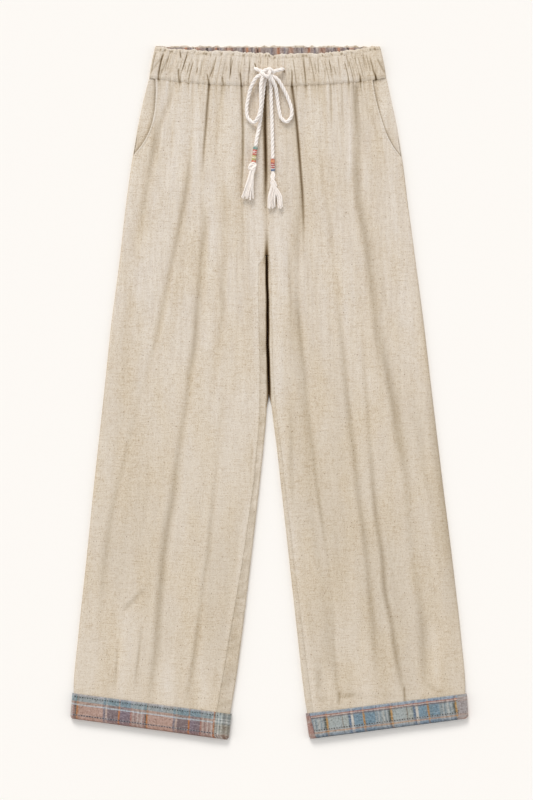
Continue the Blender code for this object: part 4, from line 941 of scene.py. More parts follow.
def legFront(leg):
    rows = []
    for down in rowDowns(leg, legShape["rows"]):
        row = legRow(leg, down)
        start, end = mouthInset(leg, row["outer"][1]), frontEnd(row)
        places = spread(start, garment["legRoll"], end, legShape["columns"])
        x, _ = onRow(row, places)
        waves = halfWaveAt(x)
        fade = math.exp(-row["below"] / legShape["gatherFade"])
        inside = smooth((places - start) / 6.0) * smooth((end - places) / 5.0)
        crease = slitShade(waves, np.full_like(waves, 0.8))
        crease = crease * math.exp(-row["below"] / legShape["creaseFade"])
        gather = (gatherRise(waves) - 0.7 * crease) * fade * inside
        strength = float(smooth((leg["mouthDown"][-1] - row["outer"][1]) / 12.0))
        welt = sum(height * strength * np.exp(-((places - start - at) / width) ** 2)
                   for height, at, width in legShape["welt"])
        top, under, shade = frontRow(row, places, garment["linenWall"], garment["legRoll"],
                                     extra=gather + welt)
        shade = shade + seamShade(x) * math.exp(-row["below"] / 1.0) + 0.75 * crease
        shade = shade + pinches(x, np.full_like(x, row["below"])) * inside
        # painted shade in the gathers' hollows, and a painted highlight on the pocket mouth's
        # folded edge
        shade = shade + 0.30 * np.maximum(-gather, 0) - 0.35 * np.maximum(welt, 0)
        if row["wrap"] > 0:          # the inside seam, deeper on the wearer's right
            near = (1.0 if leg["side"] < 0 else 0.4) * float(smooth((down - 330.0) / 200.0))
            deep = 0.10 + 0.16 * float(smooth((down - 800.0) / 90.0))
            shade = shade + near * deep * np.exp(-(end - places) / 5.0)
            sewn = math.sin(down / legShape["stitchPitch"]) * math.sin(down / 11.0 + 1.0)
            sewn = 0.75 + 0.45 * sewn
            shade = shade + (0.08 + 0.34 * near) * sewn * np.exp(-((end - places) / 1.0) ** 2)
        rows.append((top, under, shade + slitDark(x, row["inner"][1])))
    clothPiece("leg_front", leg["suffix"], rows, linenCloth)


# The deep shade where the two legs meet: how dark, how far to each side of x
slit = {
    "down": [236, 262, 280, 292, 302, 312, 324, 340, 411, 501, 526, 542, 556],
    "dark": [0.0, 0.10, 0.30, 0.60, 1.10, 1.75, 2.20, 2.35, 2.35, 2.35, 1.9, 1.0, 0.0],
    "x": [-3.6, -3.6, -3.5, -3.3, -3.0, -2.7, -2.5, -2.5, -1.7, -0.3, 0.1, 0.6, 1.2],
    "reach": [2.6, 2.5, 2.3, 2.1, 2.1, 2.4, 2.3, 2.0, 2.1, 2.1, 2.2, 2.4, 2.6],
}


def legGap(down):
    # x midway between the two legs, and half of the gap between them
    right, left = column(legRight, "inner", down), column(legLeft, "inner", down)
    return (right + left) / 2, (left - right) / 2


def slitDark(x, down):
    # that shade, wider and softer on the wearer's right
    dark, middle, reach = (float(column(slit, key, down)) for key in ("dark", "x", "reach"))
    wobble = 0.45 * math.sin(down / 19.0) + 0.20 * math.sin(down / 7.3)
    away = (x - middle - wobble) / reach
    away = np.where(away < 0, away / 1.35, away)
    flank = 0.14 * min(dark, 1.0) * np.exp(-(away / 2.4) ** 2) * (away < 0)
    return dark * np.exp(-np.abs(away) ** 3) + flank


# shade across the strip that the back brings round to the front, from its outer side
# to the seam
seamStrip = {"across": [0.0, 0.12, 0.35, 0.55, 0.72, 0.86, 0.95, 1.0],
             "shade": [0.30, 0.16, 0.02, 0.06, 0.0, -0.14, 0.02, 0.24]}


def legBack(leg):
    rows = []
    for down in rowDowns(leg, legShape["backRows"]):
        row = legRow(leg, down)
        pucker = 0.30 * math.sin(down / 2.7) * math.sin(down / 19.0) - 0.12
        faces = backRow(row, garment["linenWall"], legShape["backColumns"], pucker)
        # under the crotch the two backs touch low down
        middle, half = legGap(down)
        close = float(smooth((down - 300.0) / 15.0) * smooth((544.0 - down) / 24.0))
        for face in faces:
            low = smooth((4.4 - face[:, 2] + row["base"]) / 1.8)
            near = smooth(1.5 - np.abs(face[:, 0] - middle) / 8.0)
            face[:, 0] -= leg["side"] * max(half - 0.04, 0.0) * close * low * near
        x, z = faces[0][:, 0], faces[0][:, 2]
        # darkest right behind the seam, on the strip that comes round
        inward = np.clip(np.abs(x - row["inner"][0]) / max(row["wrap"], 3.0), 0.0, 1.3)
        strip = smooth((z - 3.0) / 1.5) * smooth((1.25 - inward) / 0.2)
        strip = strip * float(smooth((down - 330.0) / 120.0)) * (1.0 if leg["side"] < 0 else 0.45)
        wrinkle = unevenness(x / 2.0, np.full_like(x, down / 7.0), 8)
        across = np.interp(inward, seamStrip["across"], seamStrip["shade"])
        shade = 0.14 + strip * (across + 0.20 * wrinkle)
        # painted shade, darker towards the hems, together with the slit's deep shade
        rows.append((*faces, shade + 0.12 * down / 1000.0 + slitDark(x, down)))
    return clothPiece("leg_back", leg["suffix"], rows, linenCloth)


pocket = {
    "rows": 60, "columns": 26, "foot": 182.0,
    "lowered": 1.65,         # under the front's face
    "behind": 14.0,          # mm that it reaches behind the mouth's edge
    # the mouth's shadow on it: how dark and how wide
    "shadow": {"_right": (0.50, 3.6), "_left": (0.85, 1.3)},
}


def pocketFacing(leg):
    rows = []
    lowered, roll = pocket["lowered"], garment["legRoll"] - pocket["lowered"]
    dark, width = pocket["shadow"][leg["suffix"]]
    for down in np.linspace(garment["seamDown"], pocket["foot"], pocket["rows"]):
        row = legRow(leg, down)
        tucked = float(smooth((row["outer"][1] - 122.0) / 20.0))
        drop = lowered + garment["gatherHeight"] * math.exp(-row["below"] / 26.0) + 0.6 * tucked
        end = max(mouthInset(leg, row["outer"][1]), 2.0) + pocket["behind"]
        places = spread(lowered * tucked, roll, end, pocket["columns"])
        top, under, _ = frontRow(row, places, garment["linenWall"], roll, drop=drop,
                                 ownSide=lowered * tucked)
        near = places - mouthInset(leg, row["outer"][1])
        x, _ = onRow(row, places)
        fold = 0.16 * unevenness(x / 6.0, np.full_like(x, down / 40.0), 9)
        shade = 0.12 + fold + dark * np.exp(-(np.minimum(near, 0) / width) ** 2)
        rows.append((top, under, shade + pinches(x, np.full_like(x, row["below"]))))
    clothPiece("pocket_facing", leg["suffix"], rows, linenCloth)


cuffPlaces = np.concatenate([[0, 0.01, 0.03], np.linspace(0.06, 0.94, 17), [0.97, 0.99, 1.0]])
cuffShape = {"columns": 130, "backRows": 12, "backColumns": 60}


def edgeDrop(place, depth, reach):
    # how far a cuff's face drops at its top and bottom edges
    return depth * (1 - math.sqrt(1 - (1 - min(place, 1 - place, reach) / reach) ** 2))


def cuffFront(leg, cloth):
    rows = []
    for place in cuffPlaces:
        row = cuffRow(leg, place)
        start = row["outerWrap"] + (garment["gap"] / 2 if row["outerWrap"] else 0.0)
        places = spread(start, garment["cuffRoll"], frontEnd(row), cuffShape["columns"])
        x, _ = onRow(row, places)
        fine = 0.16 * unevenness(x / 6.0, np.full_like(x, place * 3), 21)
        fine = fine - 0.25 * math.exp(-((place - 0.09) / 0.03) ** 2)
        top, under, _ = frontRow(row, places, garment["cuffWall"], garment["cuffRoll"],
                                 extra=fine, relief=0.6)
        top[:, 2] -= edgeDrop(place, 0.9, 0.04) * smooth(places / garment["cuffRoll"])
        across = places if leg["side"] < 0 else rowWidth(row) - places
        chart = np.stack([across, np.full_like(places, place * garment["checkHeight"])], axis=-1)
        shade = 0.10 + 0.12 * unevenness(x / 9.0, np.full_like(x, place * 2), 22)
        # painted shade at the cuff's rolled bottom edge and, a little, at its top edge
        shade = shade + 0.55 * max(place - 0.93, 0.0) / 0.07
        rows.append((top, under, shade + 0.10 * max(0.05 - place, 0.0) / 0.05, chart))
    return clothPiece("cuff_front", leg["suffix"], rows, cloth)


def cuffBack(leg, cloth):
    rows = []
    for place in np.linspace(0, 1, cuffShape["backRows"]):
        row = cuffRow(leg, place)
        faces = backRow(row, garment["cuffWall"], cuffShape["backColumns"])
        for face in faces:
            face[:, 2] -= edgeDrop(place, 0.8, 0.09) * smooth((face[:, 2] - 5.0) / 2.0)
        width = rowWidth(row)
        walk = walked(faces[0])
        # the check runs on round the leg from the front's edge
        across = width + walk[-1] - walk if leg["side"] < 0 else walk - walk[-1]
        across = across - (row["wrap"] if leg["side"] < 0 else -row["wrap"])
        fall = np.full(len(walk), place * garment["checkHeight"])
        rows.append((*faces, np.zeros(len(walk)), np.stack([across, fall], axis=-1)))
    clothPiece("cuff_back", leg["suffix"], rows, cloth)


cuffFaces, backFaces = {}, {}
for leg, cloth, slotName in ((legRight, rustCotton, "check_rust"),
                             (legLeft, blueCotton, "check_blue")):
    legFront(leg)
    pocketFacing(leg)
    backFaces[leg["suffix"]] = legBack(leg)
    cuffFaces[leg["suffix"]] = cuffFront(leg, cloth)
    cuffBack(leg, cloth)
print("legs and cuffs made")


waistband = {
    "top": 7.7, "under": 4.6, "roll": 7.0, "taper": 0.052, "lean": 21.0,
    "rows": 52, "columnsPerGather": 16, "backWall": 1.6,
    # the outer face from its edge to the seam: height and strength of the gathers
    "place": [0.0, 0.04, 0.085, 0.115, 0.15, 0.24, 0.45, 0.75, 0.90, 0.96, 1.0],
    "height": [6.8, 7.5, 7.6, 7.4, 7.6, 7.9, 8.1, 8.0, 7.7, 7.0, 6.2],
    "gather": [0.8, 0.9, 0.9, 0.9, 0.6, 0.5, 0.45, 0.5, 0.8, 1.0, 1.0],
    "frill": 1.15,            # unevenness of the frilled edge
    # how far the front edge lies below the back edge, across the waist
    "edgeX": [-178, -165, -150, -142, -136, -124, -112, -100, -88, -76, -64, -52, -40, -28, -16,
              -4, 2, 5, 8, 11, 14, 20, 31, 55, 67, 79, 91, 103, 115, 127, 133, 145, 160, 178],
    "edge": [0.3, 1.6, 3.0, 4.2, 5.6, 4.8, 5.2, 7.0, 8.4, 7.0, 7.3, 7.9, 8.5, 10.0, 10.6, 10.0,
             10.4, 13.5, 15.0, 14.0, 12.8, 11.8, 11.3, 11.4, 10.3, 10.4, 10.0, 8.1, 7.1, 5.4,
             4.2, 2.4, 1.0, 0.2],
}
# deeper creases of the front waistband, in the columns of legWrinkles; the last two are painted
# shade, with a small dip, at the holes that the drawstring comes out of
bandFolds = [
    (-158, 8, -167, 50, 0, 1.1, 1.2, 1.2, 1.12), (-160, 17, -178, 40, 0, 1.3, 1.6, 0.8, 0.47),
    (-149, 14, -163, 46, 0, 1.2, 1.2, 0.8, 0.59), (-133.5, 5, -132, 20, 0, 0.7, 0.9, 0.8, 1.12),
    (-123, 10, -132, 42, 1, 0.8, 0.9, 1, 1.24), (-136, 32, -135, 56, 0, 0.9, 1.7, 0.9, 0.89),
    (-115, 16, -118, 40, 0, 0.9, 1, 0.5, 0.38), (-108, 18, -108, 46, 0, 0.7, 1.2, 0.5, 0.35),
    (-88, 9, -87, 18, 0, 0.7, 1, 0.5, 0.77), (-78, 12, -90, 50, 1, 0.8, 0.9, 1, 1.12),
    (-93.5, 40, -88, 66, 0, 0.9, 0.9, 1, 1.24), (-56.5, 14, -58, 48, 0, 0.9, 0.9, 0.8, 0.83),
    (-70, 44, -68, 68, 0, 0.9, 1.3, 0.7, 0.71), (-47, 20, -45, 52, 0, 0.8, 0.8, 0.5, 0.4),
    (-29, 16, -30, 44, 0, 0.8, 0.8, 0.6, 0.65), (-44, 38, -41, 64, 0, 0.9, 0.9, 0.8, 1.06),
    (-37.5, 14, -36, 30, 0, 0.7, 0.7, 0.6, 0.53), (-12, 16, -12, 30, 0, 1.1, 1.1, 0.6, 0.71),
    (-1.5, 14, -2, 34, 0, 0.7, 0.7, 0.6, 0.89), (13, 18, 13, 34, 0, 0.9, 0.9, 0.5, 0.53),
    (35, 34, 34, 64, 0, 1, 0.9, 0.9, 1.24), (52, 14, 55, 60, 0, 0.9, 0.9, 0.9, 0.83),
    (60, 16, 62, 40, 0, 0.7, 0.7, 0.4, 0.41), (73.5, 16, 75, 44, 0, 0.7, 0.8, 0.7, 0.77),
    (90, 16, 95, 54, 0, 0.8, 0.9, 0.8, 0.65), (103, 14, 107, 52, 0, 0.8, 0.9, 0.7, 0.59),
    (116, 11, 120, 36, 0, 0.7, 0.9, 0.7, 0.59), (129, 10, 130, 30, 0, 0.7, 0.8, 0.6, 0.65),
    (141, 9, 143, 36, 0, 0.7, 0.8, 0.7, 0.65), (151, 16, 162, 54, 0, 1.1, 1, 1.2, 1.25),
    (161, 18, 175, 44, 0, 1.4, 1.6, 0.8, 0.47), (136, 42, 138, 58, 0, 1, 0.9, 0.7, 1),
    (23, 17, 25, 48, 0, 0.9, 0.9, 0.5, 0.35), (-101, 20, -103, 50, 0, 1, 1.3, 0.5, 0.29),
    (127, 26, 128, 48, 0, 1.2, 1.7, 0.5, 0.33), (84, 30, 84, 58, 0, 1.4, 2.2, 0.5, 0.29),
    (-145, 26, -150, 46, 0, 1.6, 1.9, 0.5, 0.26), (-22, 25, -18, 35, 0, 0.9, 0.9, 0.8, 1.25),
    (20, 31, 23, 41, 0, 0.9, 1, 0.8, 1.06),
]


def waistSides(down):
    # x of the waistband's two sides, which close in a little towards its edge
    side = garment["seamDown"] - garment["seamRise"]
    out = 1.0 - waistband["taper"] * (1 - np.minimum(down / side, 1.0)) ** 1.4
    half = garment["waistHalf"] * out
    return garment["waistCentre"] - half, garment["waistCentre"] + half


def bandPlaces():
    # rows of the front waistband, closer at the frill and at the seam
    steps = np.linspace(0, 1, waistband["rows"])
    return 0.5 * steps + 0.5 * steps ** 2 * (3 - 2 * steps) - 0.35 * steps * (1 - steps) ** 2


def waistbandFront():
    gathers = garment["gathers"]
    halfWaves = np.linspace(0, 2 * gathers, gathers * waistband["columnsPerGather"] + 1)
    across = (gatherPlace(halfWaves) - garment["waistCentre"]) / garment["waistHalf"]
    still = np.zeros_like(halfWaves)
    frill = unevenness(halfWaves * 0.8, still, 31) + 0.6 * unevenness(halfWaves * 1.9, still, 34)
    edgeAt = garment["waistHalf"] * across * 0.95 - waistband["lean"] * across * (1 - across ** 2)
    dip = np.interp(edgeAt, waistband["edgeX"], waistband["edge"])
    dip = dip + waistband["frill"] * frill * np.clip((1 - np.abs(across)) * 12, 0, 1)
    foot = waistSeam(gatherPlace(halfWaves))
    middle = (waistband["top"] + garment["gap"]) / 2
    rows = []
    for place in bandPlaces():
        down = dip + (foot - dip) * place
        low, high = waistSides(down)
        half = (high - low) / 2
        x = garment["waistCentre"] + half * across
        x = x + waistband["lean"] * (place - 1) * across * (1 - across ** 2)
        cosine = np.clip(1 - (half - np.abs(x - garment["waistCentre"])) / waistband["roll"], 0, 1)
        sine = np.sqrt(1 - cosine ** 2)
        height = np.interp(place, waistband["place"], waistband["height"])
        strength = np.interp(place, waistband["place"], waistband["gather"])
        rise, shade = creases(bandFolds, x, down)
        frilled = float(smooth((0.105 - place) / 0.02))
        # the gathers' narrow creases, pressed in and painted in shade
        gatherCrease = slitShade(halfWaves, np.full_like(halfWaves, (place - 0.1) / 0.9)) * (1 - frilled)
        gather = strength * gatherRise(halfWaves) * (1 - 0.6 * frilled) - 0.6 * gatherCrease
        ruffle = 0.6 * frilled * unevenness(halfWaves * 2.1, still + place * 2, 35)
        fine = 0.18 * unevenness(halfWaves * 1.6, down / 26.0, 32)
        rise = rise * (1 - frilled)
        z = middle + (height - middle) * sine + (gather + fine + rise + ruffle) * sine
        ticks = smooth(unevenness(halfWaves * 1.7, still + 5, 36) * 2.2 - 0.5)
        ticks = ticks * math.exp(-((place - 0.085) / 0.035) ** 2)
        nearSeam = (place - 1) * (foot - dip)
        shade = 0.16 + shade * (1 - 0.7 * frilled) + gatherCrease + 0.75 * ticks
        # a painted highlight along the turned top edge, and the painted shade of the seam's pinches
        shade = shade - 0.12 * math.exp(-(place / 0.02) ** 2) + pinches(x, nearSeam)
        shade = shade + seamShade(x) * math.exp(-((1 - place) / 0.014) ** 2)
        # painted shade where the band rolls down at its sides, and random tone
        shade = shade + 0.30 * cosine ** 3 + 0.10 * unevenness(halfWaves * 0.9, down / 30.0, 33)
        shade = shade + 0.06 * unevenness(halfWaves * 2.6, down / 24.0, 37)
        nearFoot = float(smooth((place - 0.8) / 0.2))
        # painted shade in the gathers' hollows near the seam
        shade = shade + 0.15 * np.maximum(-gatherRise(halfWaves), 0) * nearFoot
        inward = -np.sign(across) * (waistband["top"] - waistband["under"]) * cosine
        floorZ = middle + (waistband["under"] - middle) * sine
        rows.append((np.stack([x, down, z], axis=-1),
                     np.stack([x + inward, down, floorZ], axis=-1), shade))
    return clothPiece("waistband_front", "", rows, linenCloth)


def waistbandBack():
    rows = []
    for place in np.concatenate([np.linspace(0, 0.12, 5), np.linspace(0.2, 1, 10)]):
        low, high = waistSides((garment["seamDown"] - garment["seamRise"]) * place)
        radius = (waistband["top"] - garment["gap"]) / 2
        curl, reach = edgeCurl(math.pi / 2, radius, 0.2, waistband["backWall"], 8)
        pair = []
        for out, up in curl:
            flat = np.linspace(low + reach, high - reach, 300)[1:-1]
            x = np.concatenate([low + reach - out[::-1], flat, high - reach + out])
            z = np.concatenate([up[::-1], np.full(len(flat), up[0]), up])
            away = np.minimum(np.abs(x - garment["waistCentre"]) / garment["waistHalf"], 1.0)
            foot = garment["seamDown"] - garment["seamRise"] * away
            ruffle = unevenness(x / 6.5, x * 0, 41) + 0.4 * unevenness(x / 2.8, x * 0, 42)
            ruffle = 1.2 * ruffle * (1 - place) ** 3 * np.clip((1 - away) * 8, 0, 1)
            lift = 0.0
            if up[0] > 0:            # the inner face, which frills up at the edge
                lift = 0.5 * (1 + unevenness(x / 2.4, x * 0, 43)) * (1 - place) ** 6
            pair.append(np.stack([x, foot * place + ruffle, z + lift], axis=-1))
        ticks = unevenness(pair[0][:, 0] / 2.2, pair[0][:, 0] * 0 + 3, 44)
        rows.append((*pair, 0.18 + 0.35 * np.maximum(ticks, -0.3)))
    clothPiece("waistband_back", "", rows, linenCloth)


facing = {
    "gathers": 34, "columnsPerGather": 14,
    "inset": 6.0,            # from the waistband's sides
    "under": 1.95,           # height of its lower face
    "stretch": 1.9,          # flat check to gathered cloth
    "down": [1.9, 3.0, 5.0, 8.0, 12.0, 18.0, 26.0, 36.0, 46.0],
    "height": [2.7, 3.4, 3.5, 3.0, 3.1, 3.1, 3.1, 3.1, 3.1],
    "gather": [0.7, 0.8, 0.75, 0.65, 0.5, 0.4, 0.3, 0.3, 0.2],
}


def waistbandFacing():
    gathers = facing["gathers"]
    halfWaves = np.linspace(0, 2 * gathers, gathers * facing["columnsPerGather"] + 1)
    across = 2.0 * halfWaves / halfWaves[-1] - 1.0
    uneven = 0.012 * np.sin(9.0 * across + 1.0) + 0.008 * np.sin(31.0 * across)
    across = across + uneven * (1 - across ** 2)
    wave = np.cos(math.pi * halfWaves) * (0.8 + 0.35 * np.sin(1.9 * halfWaves))
    chance = np.random.default_rng(52).random((gathers + 1, 2))
    dark, shift = chance[np.clip(halfWaves / 2, 0, gathers - 0.01).astype(int)].T
    away = (halfWaves / 2) % 1.0 - 0.35 - 0.3 * shift
    rows = []
    for down, height, gather in zip(facing["down"], facing["height"], facing["gather"]):
        low, high = waistSides(down)
        half = (high - low) / 2 - facing["inset"]
        x = garment["waistCentre"] + half * across
        gatherCrease = np.exp(-((away - 0.012 * (down - 6)) / 0.13) ** 2) * (0.15 + 1.5 * dark ** 2)
        placed = np.minimum(down + 0.35 * wave, waistSeam(x) - 2.0)
        z = np.maximum(height + gather * wave - 0.5 * gatherCrease, 2.2)
        sides = 0.12 * np.abs(across) ** 3 + 0.22 * math.exp(-(down - 1.9) / 2.0)
        blotches = 0.22 * unevenness(halfWaves * 0.8, x * 0 + down / 9, 51)
        run = x * facing["stretch"] + 5.0 * unevenness(halfWaves * 0.25, x * 0, 53)
        # painted shade in the gathers' creases; the cloth is also darker towards its ends and along
        # its top edge, with random blotches
        rows.append((np.stack([x, placed, z], axis=-1),
                     np.stack([x, placed, np.full_like(x, facing["under"])], axis=-1),
                     0.12 + 0.8 * gatherCrease + sides + blotches,
                     np.stack([run, np.full_like(x, down)], axis=-1)))
    clothPiece("waistband_facing", "", rows, facingCotton)


bandFace = waistbandFront()
waistbandBack()
waistbandFacing()
print("waistband made")


def groupSocket(tree, name, kind, value=None, way="INPUT"):
    socket = tree.interface.new_socket(name, in_out=way, socket_type=kind)
    if value is not None:
        socket.default_value = value
    return socket.identifier


def nodeMesh(name, source, tree, values):
    # what a node tree makes of a mesh, as a plain mesh
    carrier = bpy.data.objects.new(name, source)
    bpy.context.scene.collection.objects.link(carrier)
    modifier = carrier.modifiers.new(name, "NODES")
    modifier.node_group = tree
    for key, value in values.items():
        modifier[key] = value
    graph = bpy.context.evaluated_depsgraph_get()
    mesh = bpy.data.meshes.new_from_object(carrier.evaluated_get(graph), depsgraph=graph)
    bpy.data.objects.remove(carrier)
    mesh.name = name
    return mesh


def stitchTree(material):
    # small rounded stitches at even steps along a seam line
    tree = bpy.data.node_groups.new("stitches", "GeometryNodeTree")
    groupSocket(tree, "Seam", "NodeSocketGeometry")
    keys = {name: groupSocket(tree, name, "NodeSocketFloat", value) for name, value in (
        ("Pitch", 0.003), ("Length", 0.002), ("Thickness", 0.0006), ("Unevenness", 0.2))}
    keys["Seed"] = groupSocket(tree, "Seed", "NodeSocketInt", 1)
    groupSocket(tree, "Stitches", "NodeSocketGeometry", way="OUTPUT")
    start = addNode(tree, "NodeGroupInput")
    line = addNode(tree, "GeometryNodeMeshToCurve", {0: start.outputs["Seam"]})
    steps = addNode(tree, "GeometryNodeCurveToPoints", {
        "Curve": line, "Length": start.outputs["Pitch"]}, mode="LENGTH")
    turn = addNode(tree, "FunctionNodeAlignRotationToVector", {
        "Vector": steps.outputs["Tangent"]}, axis="X")
    uneven = start.outputs["Unevenness"]
    low = addNode(tree, mathNode, {0: 1.0, 1: uneven}, operation="SUBTRACT")
    high = addNode(tree, mathNode, {0: 1.0, 1: uneven}, operation="ADD")
    chance = addNode(tree, "FunctionNodeRandomValue", {
        2: low, 3: high, "Seed": start.outputs["Seed"]}, data_type="FLOAT")
    size = addNode(tree, "ShaderNodeCombineXYZ", {
        0: start.outputs["Length"], 1: start.outputs["Thickness"], 2: start.outputs["Thickness"]})
    sized = addNode(tree, "ShaderNodeVectorMath", {
        0: size, "Scale": chance.outputs[1]}, operation="SCALE")
    stitch = addNode(tree, "GeometryNodeMeshUVSphere", {"Segments": 6, "Rings": 4, "Radius": 0.5})
    placed = addNode(tree, "GeometryNodeInstanceOnPoints", {
        "Points": steps.outputs["Points"], "Instance": stitch.outputs["Mesh"],
        "Rotation": turn, "Scale": sized})
    whole = addNode(tree, "GeometryNodeRealizeInstances", {0: placed})
    painted = addNode(tree, "GeometryNodeSetMaterial", {"Geometry": whole, "Material": material})
    addNode(tree, "NodeGroupOutput", {0: painted})
    return tree, keys


def sewnLine(name, points, material, pitch, length, thickness, uneven, seed):
    # stitches along a line of points, as a piece of their own
    line = bpy.data.meshes.new(name)
    places = toWorld(points[:, 0], points[:, 1], points[:, 2])
    line.from_pydata(places.tolist(), [(k, k + 1) for k in range(len(points) - 1)], [])
    tree, keys = stitchTree(material)
    mesh = nodeMesh(name, line, tree, {
        keys["Pitch"]: pitch * mm, keys["Length"]: length * mm, keys["Thickness"]: thickness * mm,
        keys["Unevenness"]: uneven, keys["Seed"]: seed})
    mesh.materials.clear()
    mesh.shade_smooth()
    piece = addPiece(name, mesh, material)
    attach(piece, "root")


def acrossFace(face, places, at, lift=0.30):
    # the line across a face at one place between its rows
    rows = np.array([[np.interp(at, places, face[:, k, axis]) for axis in range(3)]
                     for k in range(face.shape[1])])
    rows[:, 2] += lift
    return rows


# face, its rows' places, the seam's place and its first and last column; then the
# thread, and pitch, length, thickness and unevenness in mm
seams = {
    "hemStitchesTop_right": (cuffFaces["_right"], cuffPlaces, 0.115, 6, 130,
                             brownStitch, 3.75, 1.8, 1.45, 0.25),
    "hemStitchesLow_right": (cuffFaces["_right"], cuffPlaces, 0.82, 6, 130,
                             darkStitch, 4.0, 2.6, 1.35, 0.2),
    "hemStitchesLow_left": (cuffFaces["_left"], cuffPlaces, 0.70, 2, 130,
                            brownStitch, 3.75, 1.8, 1.45, 0.25),
    "waistStitches": (bandFace, bandPlaces(), 0.125, 12, -12,
                      flaxStitch, 2.6, 1.6, 0.5, 0.4),
}
for seed, (name, (face, places, at, first, last, *thread)) in enumerate(seams.items()):
    sewnLine(name, acrossFace(face[:, first:last], places, at), *thread, seed)
for name, face in backFaces.items():
    edge = face[30:-6, -3]
    edge = edge[edge[:, 2] > 5.0]        # only where it has come round to the front
    sewnLine("insideStitches" + name, edge + np.array([0, 0, 0.05]),
             flaxStitch, 3.0, 2.1, 0.5, 0.3, 9)
print("stitches made")


drawstring = {
    "diameter": 6.2, "bedBand": 8.9, "bedLeg": 7.1, "ringSpacing": 0.8, "sides": 24,
    "strandPitch": 20.0,     # one turn of a strand
    "strandRadius": 0.56,    # of the cord's own radius
    "cordShare": 0.92,       # of the solid's radius, so that the strands don't touch
    "knotRadius": 2.8,
    "threadTurn": 0.9,       # of the whipping
}
# x, down and lift of each stop: lift counts the cords lying under it
rightRoute = [
    (-20.6, 34.4, -0.36), (-20.6, 34.4, 0.0), (-18.4, 35.6, 0.45), (-12, 38.6, 0.6),
    (-5, 40.4, 0.55), (-3.5, 43, 0.7), (-9, 44.4, 0.8), (-15.8, 46, 0.8), (-25.8, 60, 0.35),
    (-31.5, 80, 0.0),
    (-33.5, 96, 0.0), (-31.0, 109, 0.1), (-23.3, 115, 0.45), (-16.5, 108, 0.98),
    (-12.8, 94, 1.08), (-12.4, 74, 1.08), (-11.5, 55, 1.05), (-8, 45, 1.0), (-4.5, 41, 0.7),
    (-4.0, 46, 0.25), (-6.6, 55, 0.0), (-9.0, 73, 0.0), (-11.0, 92, 0.0), (-12.9, 110, 0.0),
    (-15.6, 126, 0.0), (-18.4, 139, 0.26), (-20.2, 151.4, 0.27),
]
leftRoute = [
    (20.8, 35.2, -0.36), (20.8, 35.2, 0.0), (18.2, 36.0, 0.45), (9, 38.4, 0.6), (1, 40.6, 0.6),
    (-1, 43.2, 0.75), (4, 45.6, 0.8), (10, 48.6, 0.8), (20.5, 63, 0.35), (29.3, 81, 0.0),
    (33.8, 96, 0.0), (33.0, 107, 0.0), (25.8, 114, 0.0), (18.6, 108.6, 0.0), (14.9, 96, 0.0),
    (12.3, 78, 0.05), (9.6, 62, 0.65), (4.5, 51, 1.12), (0, 44, 1.0), (-1.5, 41, 0.7),
    (1.0, 46, 0.25), (2.4, 55, 0.0), (3.2, 81, 0.0), (4.2, 110, 0.0), (5.0, 138, 0.0),
    (5.6, 170.0, 0.08),
]


def cordPlaces(stops):
    x, down, lift = np.array(stops, float).T
    fall = smooth((down - 56.0) / 40.0)
    bed = drawstring["bedBand"] + (drawstring["bedLeg"] - drawstring["bedBand"]) * fall
    thick = drawstring["diameter"]
    return toWorld(x, down, bed + thick / 2 + lift * (thick + 0.3))


def along(points, spacing):
    # evenly spaced points on the smooth curve through the given points
    points = np.array(points, float)
    steps = np.linalg.norm(np.diff(points, axis=0), axis=1)
    knots = np.concatenate([[0.0], np.cumsum(np.maximum(steps, 1e-6))])
    slope = np.gradient(points, knots, axis=0)
    fine = np.linspace(0, knots[-1], 3000)
    i = np.clip(np.searchsorted(knots, fine, side="right") - 1, 0, len(knots) - 2)
    span = (knots[i + 1] - knots[i])[:, None]
    t = ((fine - knots[i]) / span[:, 0])[:, None]
    curve = cubic(points, slope, i, span, t)
    length = walked(curve)
    places = np.linspace(0, length[-1], max(4, int(round(length[-1] / spacing)) + 1))
    return np.stack([np.interp(places, length, curve[:, k]) for k in range(3)], axis=1)


def sweep(points, section, twistPitch=None, roundEnds=True):
    # rings of a tube along points; section(angle, t) gives the radius in metres
    heading = np.gradient(points, axis=0)
    heading /= np.linalg.norm(heading, axis=1)[:, None]
    normal = np.cross(heading[0], (0.0, 0.0, 1.0))
    if np.linalg.norm(normal) < 0.1:
        normal = np.cross(heading[0], (1.0, 0.0, 0.0))
    normal /= np.linalg.norm(normal)
    length = walked(points)
    rings = []
    for k, place in enumerate(points):
        normal = normal - heading[k] * np.dot(normal, heading[k])
        normal /= np.linalg.norm(normal)
        side = np.cross(heading[k], normal)
        angle = np.linspace(0, 2 * math.pi, section["sides"], endpoint=False)
        turn = 2 * math.pi * length[k] / twistPitch if twistPitch else 0.0
        radius = section["radius"](angle - turn, length[k] / length[-1])
        if roundEnds:
            end = min(length[k], length[-1] - length[k]) / (0.4 * section["size"])
            radius = radius * math.sqrt(1 - (1 - min(end, 1.0)) ** 2 * 0.9)
        rings.append(place + (normal * np.cos(angle)[:, None] + side * np.sin(angle)[:, None])
                     * radius[:, None])
    return np.array(rings), length


